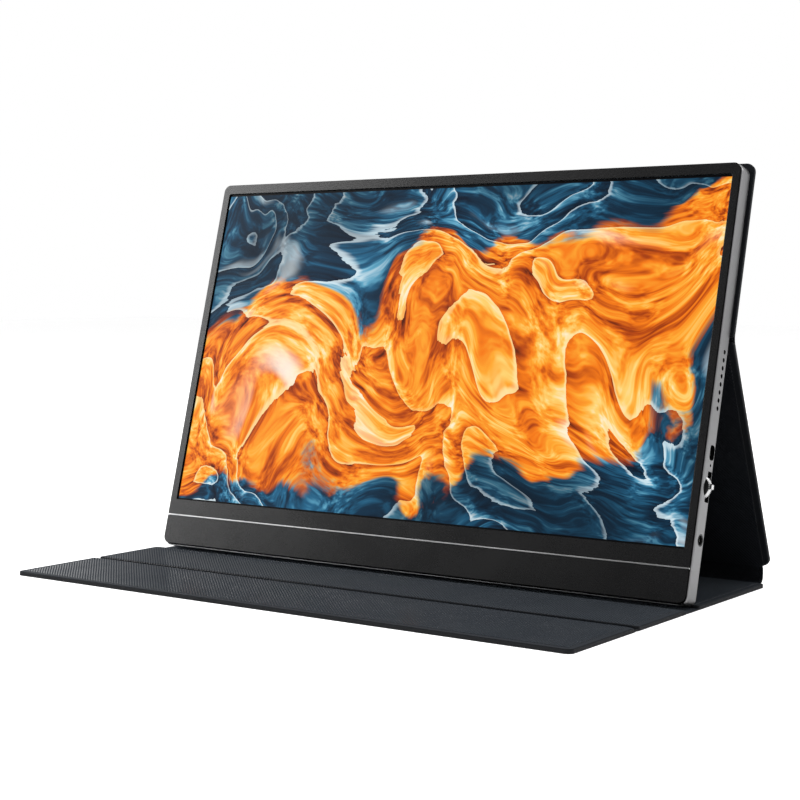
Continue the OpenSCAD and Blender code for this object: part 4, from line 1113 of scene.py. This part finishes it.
def makeFold(name, curves, half, nodes=(), along=0.0, steps=24):
    path, lengths = bentPath(curves)
    total = lengths[-1]
    bm = bmesh.new()
    addBox(bm, (-half, 0, -cover["fabric"] / 2), (half, total, cover["fabric"] / 2))
    roundOff(bm, edgesAlong(bm, 1), cover["fabricEdge"], 3)
    for index in range(1, steps):
        sliceAt(bm, 1, total * index / steps)
    splitAtLining(bm)
    paint(bm, 2, lambda middle, normal: middle.z > cover["fabricEdge"])
    paint(bm, 1, lambda middle, normal: abs(middle.x) < liningHalf and middle.z > cover["fabricEdge"])
    bm.normal_update()
    layFlat(bm, along)
    for vertex in bm.verts:
        centre, way = pointOn(path, lengths, vertex.co.y)
        up = Vector((0, -way.z, way.y))
        vertex.co = Vector((vertex.co.x, centre.y, centre.z)) + up * vertex.co.z
    fold = makeMesh(name, bm, coverCoats, sharpAngle=50)
    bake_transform(fold)
    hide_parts(*nodes)


# sizes in mm along the fabric: a fold's reach to each side, its blended part and its ridge's height
bead = {"reach": 3.1, "blend": 2.4, "ridge": 0.6, "handle": 1.2}
groove = {"end": 13.1, "blend": 3, "ridge": 0.15}
spine = {"start": 4.5, "bend": 2.8, "bulge": 4.6, "top": 2.2, "blendTop": 1.8}


def floorLevel(y, rise=0.0):
    return Vector((0, y * mm, 0)) + Vector((0, 0, skinMiddle)) + Vector((0, 0, rise * mm))


def flatCurve(first, last, fold, ridge):  # flat, with a low ridge along the fold
    return [(floorLevel(first), floorLevel(first + (fold - first) * 0.6), floorLevel(fold - 0.7),
             floorLevel(fold, ridge)),
            (floorLevel(fold, ridge), floorLevel(fold + 0.7), floorLevel(last - (last - fold) * 0.6),
             floorLevel(last))]


def makeFolds():
    fold = foldPoint("flap_fold").y / mm
    makeFold("frontFold", flatCurve(fold - bead["reach"], fold + bead["reach"], fold, bead["ridge"]),
             coverHalf,
             along=floorLevel(fold - bead["reach"]).y)
    fold = foldPoint("mid_fold").y / mm
    makeFold("grooveFold", flatCurve(fold - bead["reach"], groove["end"], fold, groove["ridge"]),
             coverHalf,
             nodes=("groove_skin", "groove_lining"),
             along=floorLevel(fold - bead["reach"]).y, steps=40)

    # the spine bulges out between the floor and the leg
    low, high, top = foldPoint("spine_fold"), foldPoint("leg_fold"), foldPoint("top_fold")
    narrow = coverHalf - cover["corner"]
    floorWay, upWay, legWay = Vector((0, 1, 0)), Vector((0, 0, 1)), (top - high).normalized()
    start = low - floorWay * spine["start"] * mm
    bend = low + floorWay * spine["bend"] * mm
    bulge = high - upWay * spine["bulge"] * mm
    curves = [(start, low - floorWay * 3 * mm, low + floorWay * mm, bend),
              (bend, bend + floorWay * 3 * mm, bulge - upWay * 2.4 * mm, bulge),
              (bulge, bulge + upWay * 1.5 * mm, high - legWay * 1.2 * mm, high)]
    makeFold("spineLow", curves, narrow,
             nodes=("spine_skin",), along=low.y - spine["start"] * mm, steps=40)
    curves = [(high, high + legWay * 0.5 * mm, high + legWay * 1.4 * mm, high + legWay * spine["top"] * mm)]
    makeFold("spineHigh", curves, narrow,
             nodes=("spine_lining",), along=low.y + 12 * mm, steps=12)

    curves = [(top - legWay * bead["reach"] * mm, top - legWay * bead["handle"] * mm,
               top + upScreen * bead["handle"] * mm, top + upScreen * bead["reach"] * mm)]
    makeFold("topFold", curves, coverHalf,
             along=0.24)


makePanel("frontFlap", "flap", floorPlace, "front_flap", freeLow=True, past=(0.6, 0.85))
makePanel("middlePanel", "mid", floorPlace, "mid_panel", past=(0.85, 0.6))
makePanel("basePanel", "base", floorPlace, "base_panel")
makePanel("legPanel", "leg", legPlace, "leg_panel", past=(0.6, 2), lip=True, along=0.105)
makePanel("upperPanel", "upper", upperPlace, "upper_panel", freeHigh=True, past=(2, 0), along=0.24)
makeFolds()
print("cover made")

# floor and light


def makeFloor():
    tree, shader = newFinish("paleFloor", Emission_Color=(1, 1, 1, 1))
    haze = noiseOf(objectPlace(tree), 3.0)
    join(mixColours(haze, (0.86, 0.86, 0.86), (0.9, 0.9, 0.9)), shader["Base Color"])
    join(grade(haze, 0.3, 0.7, 0.75, 0.85), shader["Roughness"])
    direct = add(tree, "ShaderNodeLightPath").outputs["Is Camera Ray"]
    join(times(direct, 0.6), shader["Emission Strength"])
    bm = bmesh.new()
    bmesh.ops.create_grid(bm, x_segments=2, y_segments=2, size=6)
    makeMesh("floor", bm, ["paleFloor"], Matrix.Translation((0, 0, -0.02 * mm)))


lamps = {"leftSoftbox": {"place": (-2.2, -0.93, 1.05), "aim": (0, 0, 0.1), "size": (1.5, 1.4), "power": 40},
         "topSoftbox": {"place": (0.2, 0.1, 1.6), "aim": (0, 0, 0), "size": (1.6, 1.2), "power": 19},
         "rightFill": {"place": (1.5, 0.8, 1.1), "aim": (0.15, 0.05, 0), "size": (0.6, 0.6), "power": 4.5},
         "backSoftbox": {"place": (-0.9, 1.1, 1.5), "aim": (0, 0, 0.2), "size": (1.2, 0.8), "power": 9}}


def makeLamps():
    for name, wanted in lamps.items():
        lamp = bpy.data.objects.new(name, bpy.data.lights.new(name, "AREA"))
        lamp.data.shape = "RECTANGLE"
        lamp.data.size, lamp.data.size_y = wanted["size"]
        lamp.data.energy = wanted["power"]
        lamp.location = wanted["place"]
        way = Vector(wanted["place"]) - Vector(wanted["aim"])
        lamp.rotation_euler = way.to_track_quat("Z", "Y").to_euler()
        bpy.context.scene.collection.objects.link(lamp)


def makeWorld():
    world = bpy.data.worlds.new("studio")
    bpy.context.scene.world = world
    world.use_nodes = True
    tree = world.node_tree
    background = tree.nodes["Background"].inputs
    path = add(tree, "ShaderNodeLightPath").outputs
    way = splitUp(add(tree, "ShaderNodeTexCoord").outputs["Generated"])
    behind = times(grade(way["Y"], -0.5, 0.55, 0.03, 1.0),
                   calc("MAXIMUM", grade(way["X"], -0.76, -0.67, 1.25, 0.07),
                        grade(way["X"], -0.2, 0.3, 0.08, 0.95)))
    seen = calc("MAXIMUM", path["Is Camera Ray"], path["Is Transmission Ray"])
    mirrored = times(path["Is Glossy Ray"], behind)
    spread = times(path["Is Diffuse Ray"], 0.45)
    join(calc("MAXIMUM", seen, calc("MAXIMUM", mirrored, spread)), background["Strength"])
    background["Color"].default_value = (1, 1, 1, 1)


makeFloor()
makeWorld()
makeLamps()
print("stage made")
